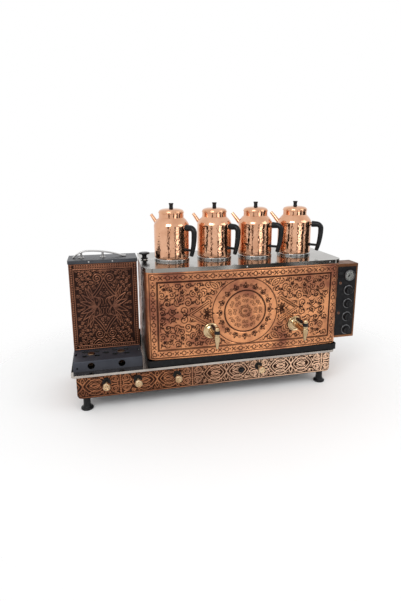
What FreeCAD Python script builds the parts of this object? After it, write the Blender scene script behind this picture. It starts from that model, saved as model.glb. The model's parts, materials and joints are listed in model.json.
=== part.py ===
import FreeCAD, Part
import math
import os
import Sketcher

# Tea stove: a boiler tank for four teapots, with a coffee shelf and a column at its left and
# a control box at its right, all on a low gas chassis with four feet.
# X runs right, Y runs back, Z runs up from the floor. Drawing positions are measured from the
# deck's left front corner; the finished frame has its origin under the middle of the whole.

SIZES = [
    ("sheet_gauge", 2.0, "steel sheet of the chassis, vessel and boxes"),
    ("clad_gauge", 4.0, "embossed copper, from the back of its relief to the front"),
    ("flat_gap", 0.3, "clearance between curved or folded pieces that nest"),
    ("bore_gap", 0.2, "radial clearance round a fixed shank"),
    ("run_gap", 0.06, "radial clearance round a turning shaft"),
    ("deck_width", 1138.0, "deck, left to right"),
    ("deck_depth", 372.0, "deck, front to back"),
    ("deck_top", 160.0, "deck surface above the floor"),
    ("deck_lip", 10.0, "folded edge of the deck"),
    ("deck_gauge", 1.5, "deck sheet"),
    ("deck_hem", 3.0, "folded edge's own thickness"),
    ("deck_corner", 20.0, "front corners of the deck in plan"),
    ("side_inset", 20.0, "deck's overhang at each side of the base"),
    ("front_inset", 9.0, "deck's overhang at the front of the base"),
    ("back_inset", 7.0, "deck's overhang at the back"),
    ("base_corner", 18.0, "lower corners of the base front"),
    ("under_lip", 8.0, "cladding folded under the base"),
    ("foot_height", 56.0, "feet below the base"),
    ("foot_disc_radius", 25.0, "foot plate"),
    ("foot_post_radius", 14.5, "foot post"),
    ("foot_edge", 8.0, "edge of the foot plate"),
    ("foot_flare", 20.0, "height where the plate has run into the post"),
    ("foot_inset_x", 34.0, "foot centre from the side of the base"),
    ("foot_inset_y", 27.0, "foot centre from the front and back of the base"),
    ("tank_left", 304.0, "left side of the tank"),
    ("tank_width", 849.0, "tank, left to right"),
    ("tank_front", 15.0, "front of the tank at its corners"),
    ("tank_depth", 360.0, "tank, front to back"),
    ("tank_bulge", 8.0, "how far the front swells in the middle"),
    ("tank_corner", 40.0, "front corners of the tank in plan"),
    ("tank_height", 384.0, "tank with its top"),
    ("top_gauge", 2.0, "tank top sheet"),
    ("rim_height", 17.0, "folded rim round the tank top"),
    ("vessel_front", 26.0, "inner vessel's front"),
    ("vessel_corner", 30.0, "inner vessel's front corners in plan"),
    ("firebox_front", 8.0, "front of the fire box"),
    ("firebox_height", 26.5, "fire box under the tank"),
    ("firebox_corner", 12.0, "front corners of the fire box in plan"),
    ("firebox_setback", 5.0, "fire box short of the tank's right side"),
    ("shelf_left", 8.5, "left side of the shelf and of the column"),
    ("shelf_width", 275.5, "shelf and column, left to right"),
    ("shelf_front", 36.0, "front of the shelf"),
    ("shelf_height", 42.5, "shelf above the deck"),
    ("shelf_edge", 4.0, "rounding of the shelf's front edge"),
    ("column_front", 158.0, "front of the column"),
    ("column_depth", 119.0, "column, front to back"),
    ("column_height", 386.5, "column on the shelf, with its top"),
    ("column_skirt", 14.0, "folded rim of the column top"),
    ("column_over", 2.5, "how far the column top stands out"),
    ("hole_radius", 13.0, "round holes of the shelf"),
    ("riser_hole_radius", 14.0, "round holes of the shelf's front"),
    ("shelf_burner_x", 79.0, "left coffee burner"),
    ("shelf_burner_pitch", 121.0, "between the two coffee burners"),
    ("shelf_burner_y", 112.0, "coffee burners from the deck's front"),
    ("hole_offset_x", 24.5, "holes to each side of a burner"),
    ("hole_offset_y", 22.0, "holes before and behind a burner"),
    ("burner_cap_radius", 15.0, "burner cap in the shelf"),
    ("burner_cap_rise", 2.5, "burner cap above the shelf"),
    ("end_slot_width", 8.0, "slots at the shelf's two ends"),
    ("end_slot_length", 26.0, "slots at the shelf's two ends"),
    ("end_slot_inset", 10.0, "slot centre from the shelf's end"),
    ("arch_left", 24.0, "left end of the arched handle"),
    ("arch_rise", 31.0, "arched handle above the column top"),
    ("arch_left_run", 63.0, "from its left end to its crown"),
    ("arch_right_run", 158.0, "from its crown to its right end"),
    ("arch_gauge", 4.0, "strip of the arched handle"),
    ("arch_width", 20.0, "strip of the arched handle"),
    ("arch_post_radius", 4.5, "posts under the arched handle"),
    ("arch_flange_radius", 13.0, "foot of each post"),
    ("arch_flange", 3.0, "foot of each post"),
    ("arch_post_left_x", 60.0, "left post of the arched handle"),
    ("arch_post_right_x", 147.0, "right post of the arched handle"),
    ("stub_radius", 8.0, "gas inlet stub behind the shelf"),
    ("stub_height", 59.0, "gas inlet stub above the deck"),
    ("stub_side", 9.5, "gas inlet stub from the tank's left side"),
    ("stub_back", 50.0, "gas inlet stub from the deck's back"),
    ("pot_one_x", 438.5, "first teapot"),
    ("pot_pitch", 188.6, "between teapots"),
    ("pot_y", 196.0, "teapots from the deck's front"),
    ("seat_radius", 76.0, "round seat under a teapot"),
    ("seat_height", 10.0, "round seat under a teapot"),
    ("pot_radius", 75.0, "teapot body"),
    ("pot_foot_radius", 71.0, "teapot body at its base"),
    ("pot_wall", 1.5, "teapot sheet"),
    ("pot_foot_arc", 5.0, "rounding between the teapot's base and its wall"),
    ("pot_shoulder", 143.0, "where the shoulder starts above the base"),
    ("pot_shoulder_arc", 24.0, "rounding of the shoulder"),
    ("pot_neck_start", 164.0, "where the neck starts above the base"),
    ("pot_neck_radius", 52.5, "teapot neck"),
    ("pot_height", 188.0, "teapot body with its neck"),
    ("lid_radius", 54.5, "lid rim"),
    ("lid_rim", 5.0, "lid rim"),
    ("lid_rise", 20.0, "lid above the neck, without its knob"),
    ("lid_seat_radius", 12.0, "flat under the lid knob"),
    ("lid_plug", 9.0, "lid collar inside the neck"),
    ("lid_play", 1.2, "radial clearance of the collar"),
    ("knob_height", 22.0, "lid knob"),
    ("knob_stem_radius", 7.5, "lid knob at its stem"),
    ("knob_top_radius", 11.0, "lid knob at its top"),
    ("spout_root", 58.0, "spout root from the teapot's axis"),
    ("spout_root_height", 112.0, "spout root above the base"),
    ("spout_inside", 10.0, "how far the spout's bore starts inside its root"),
    ("spout_reach", 116.0, "spout tip from the teapot's axis"),
    ("spout_height", 175.0, "spout tip above the base"),
    ("spout_root_radius", 12.0, "spout at its root"),
    ("spout_tip_radius", 7.0, "spout at its tip"),
    ("handle_height", 131.0, "upper arm of the teapot handle"),
    ("handle_reach", 129.0, "centre of the handle's grip from the axis"),
    ("handle_end", 14.0, "lower end of the handle above the base"),
    ("handle_radius", 9.0, "handle section"),
    ("handle_bend", 20.0, "bend of the handle's centre line"),
    ("handle_root", 13.0, "thick root of the upper arm"),
    ("handle_lug", 6.0, "upper pin that holds the handle"),
    ("handle_pin", 4.0, "lower pin that holds the handle"),
    ("handle_pin_height", 38.0, "lower pin above the base"),
    ("handle_knee_rise", 22.0, "where the grip starts to draw in, above the lower pin"),
    ("handle_off", 6.0, "handle's start from the teapot's wall"),
    ("handle_tip_in", 6.0, "how far the handle's end draws in"),
    ("tap_one_x", 566.0, "left tap"),
    ("tap_two_x", 940.0, "right tap"),
    ("tap_rise", 138.0, "taps above the deck"),
    ("tap_reach", 100.0, "tap body from the rosette's back"),
    ("rosette_radius", 33.0, "tap rosette"),
    ("rosette_rise", 9.0, "tap rosette"),
    ("barrel_radius", 11.0, "tap barrel"),
    ("shank_radius", 9.0, "tap shank through the tank wall"),
    ("tap_body_radius", 12.0, "upright tap body"),
    ("tap_body_up", 22.0, "tap body above the barrel's axis"),
    ("tap_body_down", 8.0, "tap body below the barrel's axis"),
    ("tap_outlet", 39.0, "spout outlet below the barrel's axis"),
    ("tap_tip_radius", 4.8, "spout outlet"),
    ("tap_stem_radius", 6.0, "stem that the lever turns on"),
    ("tap_cap_radius", 9.5, "cap over the lever"),
    ("tap_cap_height", 14.0, "cap over the lever"),
    ("tap_bore", 3.2, "water way"),
    ("lever_height", 13.0, "lever hub"),
    ("lever_hub_radius", 11.0, "lever hub"),
    ("lever_length", 84.0, "lever from the stem"),
    ("grip_length", 54.0, "black grip of the lever"),
    ("grip_radius", 7.5, "black grip of the lever"),
    ("neck_radius", 4.0, "lever between hub and grip"),
    ("filler_x", 321.0, "filler at the tank's left"),
    ("filler_y", 214.0, "filler from the deck's front"),
    ("filler_bore", 9.0, "filler opening"),
    ("filler_lip", 3.0, "filler collar's wall"),
    ("filler_rise", 4.0, "filler collar above the tank top"),
    ("filler_lid_radius", 16.0, "filler lid"),
    ("filler_lid", 3.0, "filler lid"),
    ("filler_knob_height", 24.0, "filler knob"),
    ("filler_knob_radius", 23.0, "filler knob"),
    ("valve_one_x", 135.0, "first gas knob"),
    ("valve_two_x", 260.0, "second gas knob"),
    ("valve_three_x", 421.0, "third gas knob"),
    ("valve_four_x", 778.0, "fourth gas knob"),
    ("valve_drop", 42.0, "gas knobs below the deck"),
    ("igniter_x", 699.0, "igniter button"),
    ("igniter_drop", 52.0, "igniter button below the deck"),
    ("bezel_radius", 17.0, "black disc behind a gas knob"),
    ("bezel_rise", 3.0, "black disc behind a gas knob"),
    ("spindle_radius", 4.0, "gas valve spindle"),
    ("spindle_depth", 26.0, "spindle behind the base front"),
    ("bell_radius", 16.0, "gas knob's bell"),
    ("bell_reach", 49.0, "gas knob in front of the base"),
    ("bell_flare", 30.0, "gas knob's flare, back from its tip"),
    ("bell_rim", 13.0, "gas knob's straight rim, back from its tip"),
    ("manifold_radius", 9.0, "gas pipe"),
    ("manifold_back", 54.0, "gas pipe behind the chassis front"),
    ("valve_width", 24.0, "valve block"),
    ("button_radius", 9.5, "igniter button"),
    ("igniter_stem", 5.5, "igniter plunger"),
    ("button_rise", 9.0, "igniter button"),
    ("button_travel", 4.0, "igniter button"),
    ("collar_radius", 13.0, "igniter collar"),
    ("control_width", 99.0, "control box beside the tank"),
    ("control_front", 45.0, "front of the control box"),
    ("control_depth", 78.0, "control box, front to back"),
    ("control_foot", 39.0, "control box above the deck"),
    ("control_height", 343.0, "control box"),
    ("panel_gauge", 3.0, "black front panel"),
    ("panel_side", 9.0, "casing left and right of the panel"),
    ("panel_low", 10.0, "casing under the panel"),
    ("panel_high", 13.0, "casing over the panel"),
    ("dial_x", 57.0, "dials from the control box's left side"),
    ("gauge_rise", 329.0, "gauge above the deck"),
    ("gauge_radius", 25.0, "gauge bezel"),
    ("thermo_rise", 75.0, "lowest thermostat above the deck"),
    ("thermo_pitch", 62.0, "between thermostats"),
    ("thermo_ring_radius", 22.5, "ring behind a thermostat knob"),
    ("thermo_knob_radius", 17.5, "thermostat knob"),
    ("thermo_knob_height", 17.0, "thermostat knob"),
    ("thermo_depth", 26.0, "thermostat behind the panel's face"),
    ("thermo_spindle", 20.0, "thermostat knob's spindle behind the panel's face"),
    ("lamp_x", 15.0, "lamps from the control box's left side"),
    ("lamp_radius", 5.0, "lamp lens"),
    ("lamp_depth", 10.0, "lamp housing behind the panel"),
    ("low_lamp_rise", 156.0, "lower lamp above the deck"),
    ("high_lamp_rise", 295.0, "upper lamp above the deck"),
    ("switch_width", 24.0, "rocker switch"),
    ("switch_height", 30.0, "rocker switch"),
    ("switch_rise", 334.0, "rocker switch above the deck"),
    ("heater_rise", 46.0, "heating element above the tank's bottom"),
    ("heater_length", 420.0, "heating element inside the tank"),
    ("heater_radius", 5.0, "heating element rod"),
    ("heater_half", 17.0, "half the distance of its two legs"),
    ("heater_head_radius", 28.0, "heating element's head"),
    ("screw_radius", 4.0, "screw heads"),
    ("screw_rise", 2.0, "screw heads"),
    ("left_screw_x", 82.0, "column screw from the shelf's left side"),
    ("right_screw_x", 176.0, "column screw from the shelf's left side"),
    ("middle_screw_x", 12.0, "tank screw left of the tank's middle"),
    ("side_screw_x", 60.0, "tank screw from the tank's right side"),
]

LEVEL = FreeCAD.Vector(0, 0, 1)
ACROSS = FreeCAD.Vector(1, 0, 0)
WHOLE_TURN = 360
FRONT_FACING = 90

doc = FreeCAD.newDocument("tea_stove")
sheet = doc.addObject("Spreadsheet::Sheet", "Sizes")


class Size:
    """A length that knows its value and the sheet expression it is worked out by."""

    def __init__(self, value, text):
        self.value = float(value)
        self.text = text

    def __add__(self, other):
        other = as_size(other)
        return Size(self.value + other.value, "(%s + %s)" % (self.text, other.text))

    def __sub__(self, other):
        other = as_size(other)
        return Size(self.value - other.value, "(%s - %s)" % (self.text, other.text))

    def __mul__(self, other):
        other = as_size(other)
        return Size(self.value * other.value, "(%s * %s)" % (self.text, other.text))

    def __truediv__(self, other):
        other = as_size(other)
        return Size(self.value / other.value, "(%s / %s)" % (self.text, other.text))

    def __radd__(self, other):
        return as_size(other) + self

    def __rsub__(self, other):
        return as_size(other) - self

    def __rmul__(self, other):
        return as_size(other) * self

    def __neg__(self):
        return as_size(0) - self


def as_size(item):
    if isinstance(item, Size):
        return item
    return Size(item, "%.6f" % item)


class Sheet:
    """The driving sizes by name."""


S = Sheet()
for row, (alias, number, note) in enumerate(SIZES, start=1):
    sheet.set("A%d" % row, note)
    sheet.set("B%d" % row, str(number))
    sheet.setAlias("B%d" % row, alias)
    setattr(S, alias, Size(number, "Sizes." + alias))
doc.recompute()

# Places that several pieces share, worked out from the driving sizes.
base_left = S.side_inset
base_right = S.deck_width - S.side_inset
base_back = S.deck_depth - S.back_inset
deck_under = S.deck_top - S.deck_gauge
chassis_front = S.front_inset + S.clad_gauge
chassis_bottom = S.foot_height + S.clad_gauge
tank_right = S.tank_left + S.tank_width
tank_back = S.tank_front + S.tank_depth
tank_middle = S.tank_left + S.tank_width / 2
tank_bottom = S.deck_top + S.firebox_height
tank_top = tank_bottom + S.tank_height
seat_top = tank_top + S.seat_height
shelf_top = S.deck_top + S.shelf_height
shelf_right = S.shelf_left + S.shelf_width
column_back = S.column_front + S.column_depth
column_top = shelf_top + S.column_height
control_right = tank_right + S.control_width
control_bottom = S.deck_top + S.control_foot
valve_level = S.deck_top - S.valve_drop
front_chord = S.tank_width - 2 * S.tank_corner
front_radius = front_chord * front_chord / (8 * S.tank_bulge) + S.tank_bulge / 2


def tank_front_at(x):
    """The tank's swelling front at a given distance from the left (a shallow arc)."""
    off = x - tank_middle
    return S.tank_front - S.tank_bulge + off * off / (2 * front_radius)


rosette_tilt = 0.8
tap_seats = [tank_front_at(x) - rosette_tilt for x in (S.tap_one_x, S.tap_two_x)]
foremost = tap_seats[0] - S.tap_reach - S.tap_body_radius
hindmost = tank_back + S.sheet_gauge + S.flat_gap
centre_x = control_right / 2
centre_y = (hindmost + foremost) / 2


def place(item, x, y, z, axis=LEVEL, angle=0):
    """Move an object drawn at its own origin to a place on the stove."""
    item.Placement = FreeCAD.Placement(FreeCAD.Vector(), FreeCAD.Rotation(axis, angle))
    item.setExpression("Placement.Base.x", (as_size(x) - centre_x).text)
    item.setExpression("Placement.Base.y", (as_size(y) - centre_y).text)
    item.setExpression("Placement.Base.z", as_size(z).text)
    return item


def bind(item, **values):
    for name, value in values.items():
        item.setExpression(name, as_size(value).text)
    return item


def arc_between(start, end, radius, side):
    """An arc from start to end; side 1 turns left on the way, side -1 turns right."""
    middle = (start + end) * 0.5
    half = (end - start).Length / 2
    along = (end - start).normalize()
    left = FreeCAD.Vector(-along.y, along.x, 0)
    centre = middle + left * side * math.sqrt(max(radius * radius - half * half, 0.0))
    if side < 0:
        start, end = end, start
    first = math.atan2(start.y - centre.y, start.x - centre.x)
    last = math.atan2(end.y - centre.y, end.x - centre.x)
    return Part.ArcOfCircle(Part.Circle(centre, LEVEL, radius), first, last)


def fix_point(rules, texts, edge, spot, x, y):
    """Tie one point of an edge to its place on the sketch's two axes."""
    for kind, value, axis in (("DistanceX", x, -2), ("DistanceY", y, -1)):
        value = as_size(value)
        if abs(value.value) < 1e-9:
            rules.append(Sketcher.Constraint("PointOnObject", edge, spot, axis))
            texts.append(None)
        else:
            rules.append(Sketcher.Constraint(kind, -1, 1, edge, spot, value.value))
            texts.append(value.text)


def apply_rules(drawing, rules, texts):
    numbers = drawing.addConstraint(rules)
    for number, text in zip(numbers, texts):
        if text is not None:
            drawing.setExpression("Constraints[%d]" % number, text)


def add_outline(drawing, corners, closed=True):
    """Corners are (x, y), or (x, y, radius, side) where an arc leaves the corner."""
    places = [FreeCAD.Vector(as_size(c[0]).value, as_size(c[1]).value, 0) for c in corners]
    count = len(corners) if closed else len(corners) - 1
    first = drawing.GeometryCount
    ends = []
    for index in range(count):
        corner = corners[index]
        start, end = places[index], places[(index + 1) % len(corners)]
        if len(corner) == 2:
            drawing.addGeometry(Part.LineSegment(start, end), False)
            ends.append((1, 2))
        else:
            radius = as_size(corner[2]).value
            drawing.addGeometry(arc_between(start, end, radius, corner[3]), False)
            ends.append((1, 2) if corner[3] > 0 else (2, 1))
    rules, texts = [], []
    for index in range(count):
        corner = corners[index]
        edge = first + index
        if closed or index < count - 1:
            following = first + (index + 1) % count
            after = ends[(index + 1) % count][0]
            rules.append(Sketcher.Constraint("Coincident", edge, ends[index][1], following, after))
            texts.append(None)
        fix_point(rules, texts, edge, ends[index][0], corner[0], corner[1])
        if len(corner) > 2:
            radius = as_size(corner[2])
            rules.append(Sketcher.Constraint("Radius", edge, radius.value))
            texts.append(radius.text)
    if not closed:
        fix_point(rules, texts, first + count - 1, ends[-1][1], corners[-1][0], corners[-1][1])
    apply_rules(drawing, rules, texts)


def add_circle(drawing, x, y, radius):
    x, y, radius = as_size(x), as_size(y), as_size(radius)
    centre = FreeCAD.Vector(x.value, y.value, 0)
    edge = drawing.addGeometry(Part.Circle(centre, LEVEL, radius.value), False)
    rules = [Sketcher.Constraint("Radius", edge, radius.value)]
    texts = [radius.text]
    fix_point(rules, texts, edge, 3, x, y)
    apply_rules(drawing, rules, texts)


def new_body(name):
    return doc.addObject("PartDesign::Body", name)


def new_sketch(body, name, role="XY_Plane", rise=None):
    plane = next(item for item in body.Origin.OriginFeatures if item.Role == role)
    drawing = body.newObject("Sketcher::SketchObject", name)
    drawing.AttachmentSupport = [(plane, "")]
    drawing.MapMode = "FlatFace"
    if rise is not None:
        drawing.setExpression("AttachmentOffset.Base.z", as_size(rise).text)
    return drawing


def pad(body, name, corners, length, rise=None, circles=()):
    """Add a slab with the given outline; circles are holes in it."""
    drawing = new_sketch(body, name + "_outline", rise=rise)
    add_outline(drawing, corners)
    for circle in circles:
        add_circle(drawing, *circle)
    feature = body.newObject("PartDesign::Pad", name)
    feature.Profile = drawing
    return bind(feature, Length=length)


def pocket(body, name, outlines, depth, rise=None, upward=False, circles=()):
    """Cut outlines into a body, and make sure that the cut took something away."""
    doc.recompute()
    before = body.Shape.Volume
    drawing = new_sketch(body, name + "_outline", rise=rise)
    for corners in outlines:
        add_outline(drawing, corners)
    for circle in circles:
        add_circle(drawing, *circle)
    feature = body.newObject("PartDesign::Pocket", name)
    feature.Profile = drawing
    feature.Reversed = upward
    bind(feature, Length=depth)
    doc.recompute()
    if body.Shape.Volume >= before:
        raise ValueError(name + " cuts nothing")
    return feature


def turn(body, name, corners):
    """Add a solid of revolution: corners are (radius, height) round the body's own Z."""
    drawing = new_sketch(body, name + "_outline", role="XZ_Plane")
    add_outline(drawing, corners)
    feature = body.newObject("PartDesign::Revolution", name)
    feature.Profile = drawing
    feature.ReferenceAxis = (drawing, ["V_Axis"])
    feature.Angle = WHOLE_TURN
    return feature


def groove(body, name, corners):
    """Cut a solid of revolution out of a body."""
    doc.recompute()
    before = body.Shape.Volume
    drawing = new_sketch(body, name + "_outline", role="XZ_Plane")
    add_outline(drawing, corners)
    feature = body.newObject("PartDesign::Groove", name)
    feature.Profile = drawing
    feature.ReferenceAxis = (drawing, ["V_Axis"])
    feature.Angle = WHOLE_TURN
    doc.recompute()
    if body.Shape.Volume >= before:
        raise ValueError(name + " cuts nothing")
    return feature


def turned_piece(name, corners):
    body = new_body(name)
    turn(body, name + "_turned", corners)
    return body


def together(name, pieces):
    """Several separate solids kept under one name."""
    item = doc.addObject("Part::Compound", name)
    item.Links = pieces
    return item


def rectangle(left, right, low, high):
    return [(left, low), (right, low), (right, high), (left, high)]


def rounded_plan(left, right, front, back, corner):
    """A rectangle in plan whose two front corners are round."""
    return [
        (left + corner, front), (right - corner, front, corner, 1),
        (right, front + corner), (right, back), (left, back),
        (left, front + corner, corner, 1),
    ]


def base_outline(left, right, low, high, corner):
    """The base seen from the front: its lower corners are round."""
    return rounded_plan(left, right, low, high, corner)


def cut_both_ways(body, name, drawing, reach):
    """Cut a drawing through a body as far as the reach to each side of its plane."""
    doc.recompute()
    before = body.Shape.Volume
    feature = body.newObject("PartDesign::Pocket", name)
    feature.Profile = drawing
    feature.SideType = "Symmetric"
    bind(feature, Length=reach * 2)
    doc.recompute()
    if body.Shape.Volume >= before:
        raise ValueError(name + " cuts nothing")
    return feature


def front_facing(body, x, y, z):
    """A body drawn in X and Z and padded forward: its own Z comes to point to the front."""
    return place(body, x, y, z, ACROSS, FRONT_FACING)


def base_chassis():
    """Open steel tray: a folded channel with a front and a back plate."""
    body = new_body("base_chassis")
    left, right = base_left + S.clad_gauge, base_right - S.clad_gauge
    low, high, wall = chassis_bottom, deck_under, S.sheet_gauge
    outer = S.base_corner - S.clad_gauge + S.flat_gap
    inner = outer - wall
    length = base_back - chassis_front
    channel = [
        (left + outer, low), (right - outer, low, outer, 1),
        (right, low + outer), (right, high), (right - wall, high),
        (right - wall, low + outer, inner, -1), (right - outer, low + wall),
        (left + outer, low + wall, inner, -1), (left + wall, low + outer),
        (left + wall, high), (left, high), (left, low + outer, outer, 1),
    ]
    whole = base_outline(left, right, low, high, outer)
    pad(body, "channel", channel, length)
    pad(body, "back_plate", whole, wall)
    pad(body, "front_plate", whole, wall, rise=length - wall)
    holes = [(x, valve_level, S.spindle_radius + S.clad_gauge) for x in valve_places()]
    holes.append((S.igniter_x, S.deck_top - S.igniter_drop, S.button_radius))
    pocket(body, "valve_holes", [], wall, rise=length, circles=holes)
    return front_facing(body, 0, base_back, 0)


def valve_places():
    return [S.valve_one_x, S.valve_two_x, S.valve_three_x, S.valve_four_x]


def base_cladding():
    """Embossed copper round the front and both sides of the base."""
    body = new_body("base_cladding")
    left, right, low, high = base_left, base_right, S.foot_height, deck_under
    outer, inner = S.base_corner, S.base_corner - S.clad_gauge
    length = base_back - S.front_inset
    pad(body, "front", base_outline(left, right, low, high, outer), S.clad_gauge,
        rise=length - S.clad_gauge)
    left_wrap = [
        (left, high), (left, low + outer, outer, 1), (left + outer, low),
        (left + outer + S.under_lip, low), (left + outer + S.under_lip, low + S.clad_gauge),
        (left + outer, low + S.clad_gauge, inner, -1), (left + S.clad_gauge, low + outer),
        (left + S.clad_gauge, high),
    ]
    right_wrap = [
        (right, high), (right - S.clad_gauge, high),
        (right - S.clad_gauge, low + outer, inner, -1), (right - outer, low + S.clad_gauge),
        (right - outer - S.under_lip, low + S.clad_gauge), (right - outer - S.under_lip, low),
        (right - outer, low, outer, 1), (right, low + outer),
    ]
    pad(body, "left_wrap", left_wrap, length)
    pad(body, "right_wrap", right_wrap, length)
    holes = [(x, valve_level, S.spindle_radius + S.clad_gauge) for x in valve_places()]
    holes.append((S.igniter_x, S.deck_top - S.igniter_drop, S.button_radius))
    pocket(body, "valve_holes", [], S.clad_gauge, rise=length, circles=holes)
    notches = new_sketch(body, "foot_notch_outline", role="XZ_Plane")
    for x, y in foot_places():
        add_circle(notches, x, base_back - y, S.foot_post_radius + S.flat_gap)
    cut_both_ways(body, "foot_notches", notches, chassis_bottom + 1)
    return front_facing(body, 0, base_back, 0)


def top_deck():
    """Folded steel tray that everything stands on."""
    body = new_body("top_deck")
    hem = S.deck_hem
    pad(body, "sheet", rounded_plan(as_size(0), S.deck_width, as_size(0), S.deck_depth,
                                    S.deck_corner), S.deck_lip)
    inside = rounded_plan(hem, S.deck_width - hem, hem, S.deck_depth - hem,
                          S.deck_corner - hem)
    pocket(body, "hollow", [inside], S.deck_lip - S.deck_gauge, upward=True)
    return place(body, 0, 0, S.deck_top - S.deck_lip)


def foot_places():
    return [(x, y) for x in (base_left + S.foot_inset_x, base_right - S.foot_inset_x)
            for y in (S.front_inset + S.foot_inset_y, base_back - S.foot_inset_y)]


def feet():
    """Four turned feet: a post that flares into a round plate."""
    height = chassis_bottom
    flare = S.foot_flare - S.foot_edge
    profile = [
        (0, 0), (S.foot_disc_radius - 1.5, 0), (S.foot_disc_radius, 1.5),
        (S.foot_disc_radius, S.foot_edge, flare * 1.6, -1),
        (S.foot_post_radius, S.foot_flare), (S.foot_post_radius, height), (0, height),
    ]
    pieces = []
    for x, y in foot_places():
        foot = turned_piece("foot_%d" % (len(pieces) + 1), profile)
        pieces.append(place(foot, x, y, 0))
    return together("feet", pieces)


def gas_manifold():
    """Gas pipe along the inside of the chassis front, on two saddles."""
    pipe = doc.addObject("Part::Cylinder", "manifold_pipe")
    start = S.valve_one_x - S.valve_width * 2
    length = S.valve_four_x - S.valve_one_x + S.valve_width * 4
    bind(pipe, Radius=S.manifold_radius, Height=length)
    pipe_y = chassis_front + S.manifold_back
    place(pipe, start, pipe_y, valve_level, FreeCAD.Vector(0, 1, 0), 90)
    pieces = [pipe]
    floor = chassis_bottom + S.sheet_gauge
    for x in (start + S.valve_width, start + length - S.valve_width):
        saddle = doc.addObject("Part::Box", "manifold_saddle_%d" % len(pieces))
        bind(saddle, Length=S.valve_width / 2, Width=S.manifold_radius * 2,
             Height=valve_level - floor)
        pieces.append(place(saddle, x, pipe_y - S.manifold_radius, floor))
    whole = doc.addObject("Part::MultiFuse", "gas_manifold")
    whole.Shapes = pieces
    return whole


def gas_valves():
    """Four valve blocks between the chassis front and the gas pipe, each with its bore."""
    back = chassis_front + S.sheet_gauge
    depth = S.manifold_back - S.manifold_radius - S.sheet_gauge - S.flat_gap
    pieces = []
    for index, x in enumerate(valve_places(), start=1):
        body = new_body("valve_block_%d" % index)
        half = S.valve_width / 2
        pad(body, "block_%d" % index, rectangle(-half, half, -half, half), depth,
            circles=[(0, 0, S.spindle_radius + S.run_gap)])
        pieces.append(front_facing(body, x, back + depth, valve_level))
    return together("gas_valves", pieces)


def valve_bezels():
    """Black discs on the base front behind the gas knobs."""
    inner = S.spindle_radius + 1
    profile = [
        (inner, 0), (S.bezel_radius, 0), (S.bezel_radius, S.bezel_rise - 1),
        (S.bezel_radius - 1, S.bezel_rise), (inner, S.bezel_rise),
    ]
    pieces = []
    for index, x in enumerate(valve_places(), start=1):
        disc = turned_piece("bezel_%d" % index, profile)
        pieces.append(front_facing(disc, x, S.front_inset, valve_level))
    return together("valve_bezels", pieces)


def gas_knob(number, x):
    """Brass knob: a slim stem that opens into a bell, with its spindle behind."""
    body = new_body("gas_knob_%d" % number)
    tip = S.bell_reach
    stem = S.spindle_radius
    mouth = tip - 6
    profile = [
        (0, -S.spindle_depth), (stem, -S.spindle_depth), (stem, S.bezel_rise + 1),
        (stem + 1.5, S.bezel_rise + 3), (stem + 1.5, S.bezel_rise + 7), (stem, S.bezel_rise + 9),
        (stem, tip - S.bell_flare, S.bell_flare, -1), (S.bell_radius, tip - S.bell_rim),
        (S.bell_radius, mouth), (S.bell_radius - 2.5, tip), (S.bell_radius - 5, tip),
        (S.bell_radius - 5.5, mouth), (stem + 1, mouth), (stem, tip - 2), (0, tip - 1),
    ]
    turn(body, "bell_%d" % number, profile)
    return front_facing(body, x, S.front_inset, valve_level)


def igniter_body():
    """Collar and barrel of the spark igniter."""
    body = new_body("igniter_body")
    button = S.button_radius + S.flat_gap
    barrel = S.button_radius - S.flat_gap
    inside = S.igniter_stem + S.run_gap
    back = S.clad_gauge + S.sheet_gauge + S.manifold_back / 2
    profile = [
        (0, -back), (barrel, -back), (barrel, 0), (S.collar_radius, 0),
        (S.collar_radius, 2.5), (S.collar_radius - 1, 3.5), (button, 3.5), (button, 0.5),
        (inside, 0.5), (inside, 2 - back), (0, 2 - back),
    ]
    turn(body, "igniter_shell", profile)
    return front_facing(body, S.igniter_x, S.front_inset, S.deck_top - S.igniter_drop)


def igniter_button():
    """Round black button with its plunger, clear of the collar by its travel."""
    body = new_body("igniter_button")
    stem = S.igniter_stem
    rest = S.button_travel + 1
    face = S.button_radius - 1.5
    top = rest + S.button_rise
    profile = [
        (0, -S.manifold_back / 4), (stem, -S.manifold_back / 4), (stem, rest),
        (S.button_radius, rest), (S.button_radius, top - 2.5), (face, top - 1),
        (face / 2, top - 0.25), (0, top),
    ]
    turn(body, "button", profile)
    return front_facing(body, S.igniter_x, S.front_inset, S.deck_top - S.igniter_drop)


def fire_box():
    """Black tray between the deck and the tank."""
    body = new_body("fire_box")
    left, right = S.tank_left, tank_right - S.firebox_setback
    wall = S.sheet_gauge
    pad(body, "tray", rounded_plan(left, right, S.firebox_front, base_back, S.firebox_corner),
        S.firebox_height)
    inside = rounded_plan(left + wall, right - wall, S.firebox_front + wall, base_back - wall,
                          S.firebox_corner - wall)
    pocket(body, "tray_hollow", [inside], S.firebox_height - wall, rise=S.firebox_height)
    return place(body, 0, 0, S.deck_top)


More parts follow.
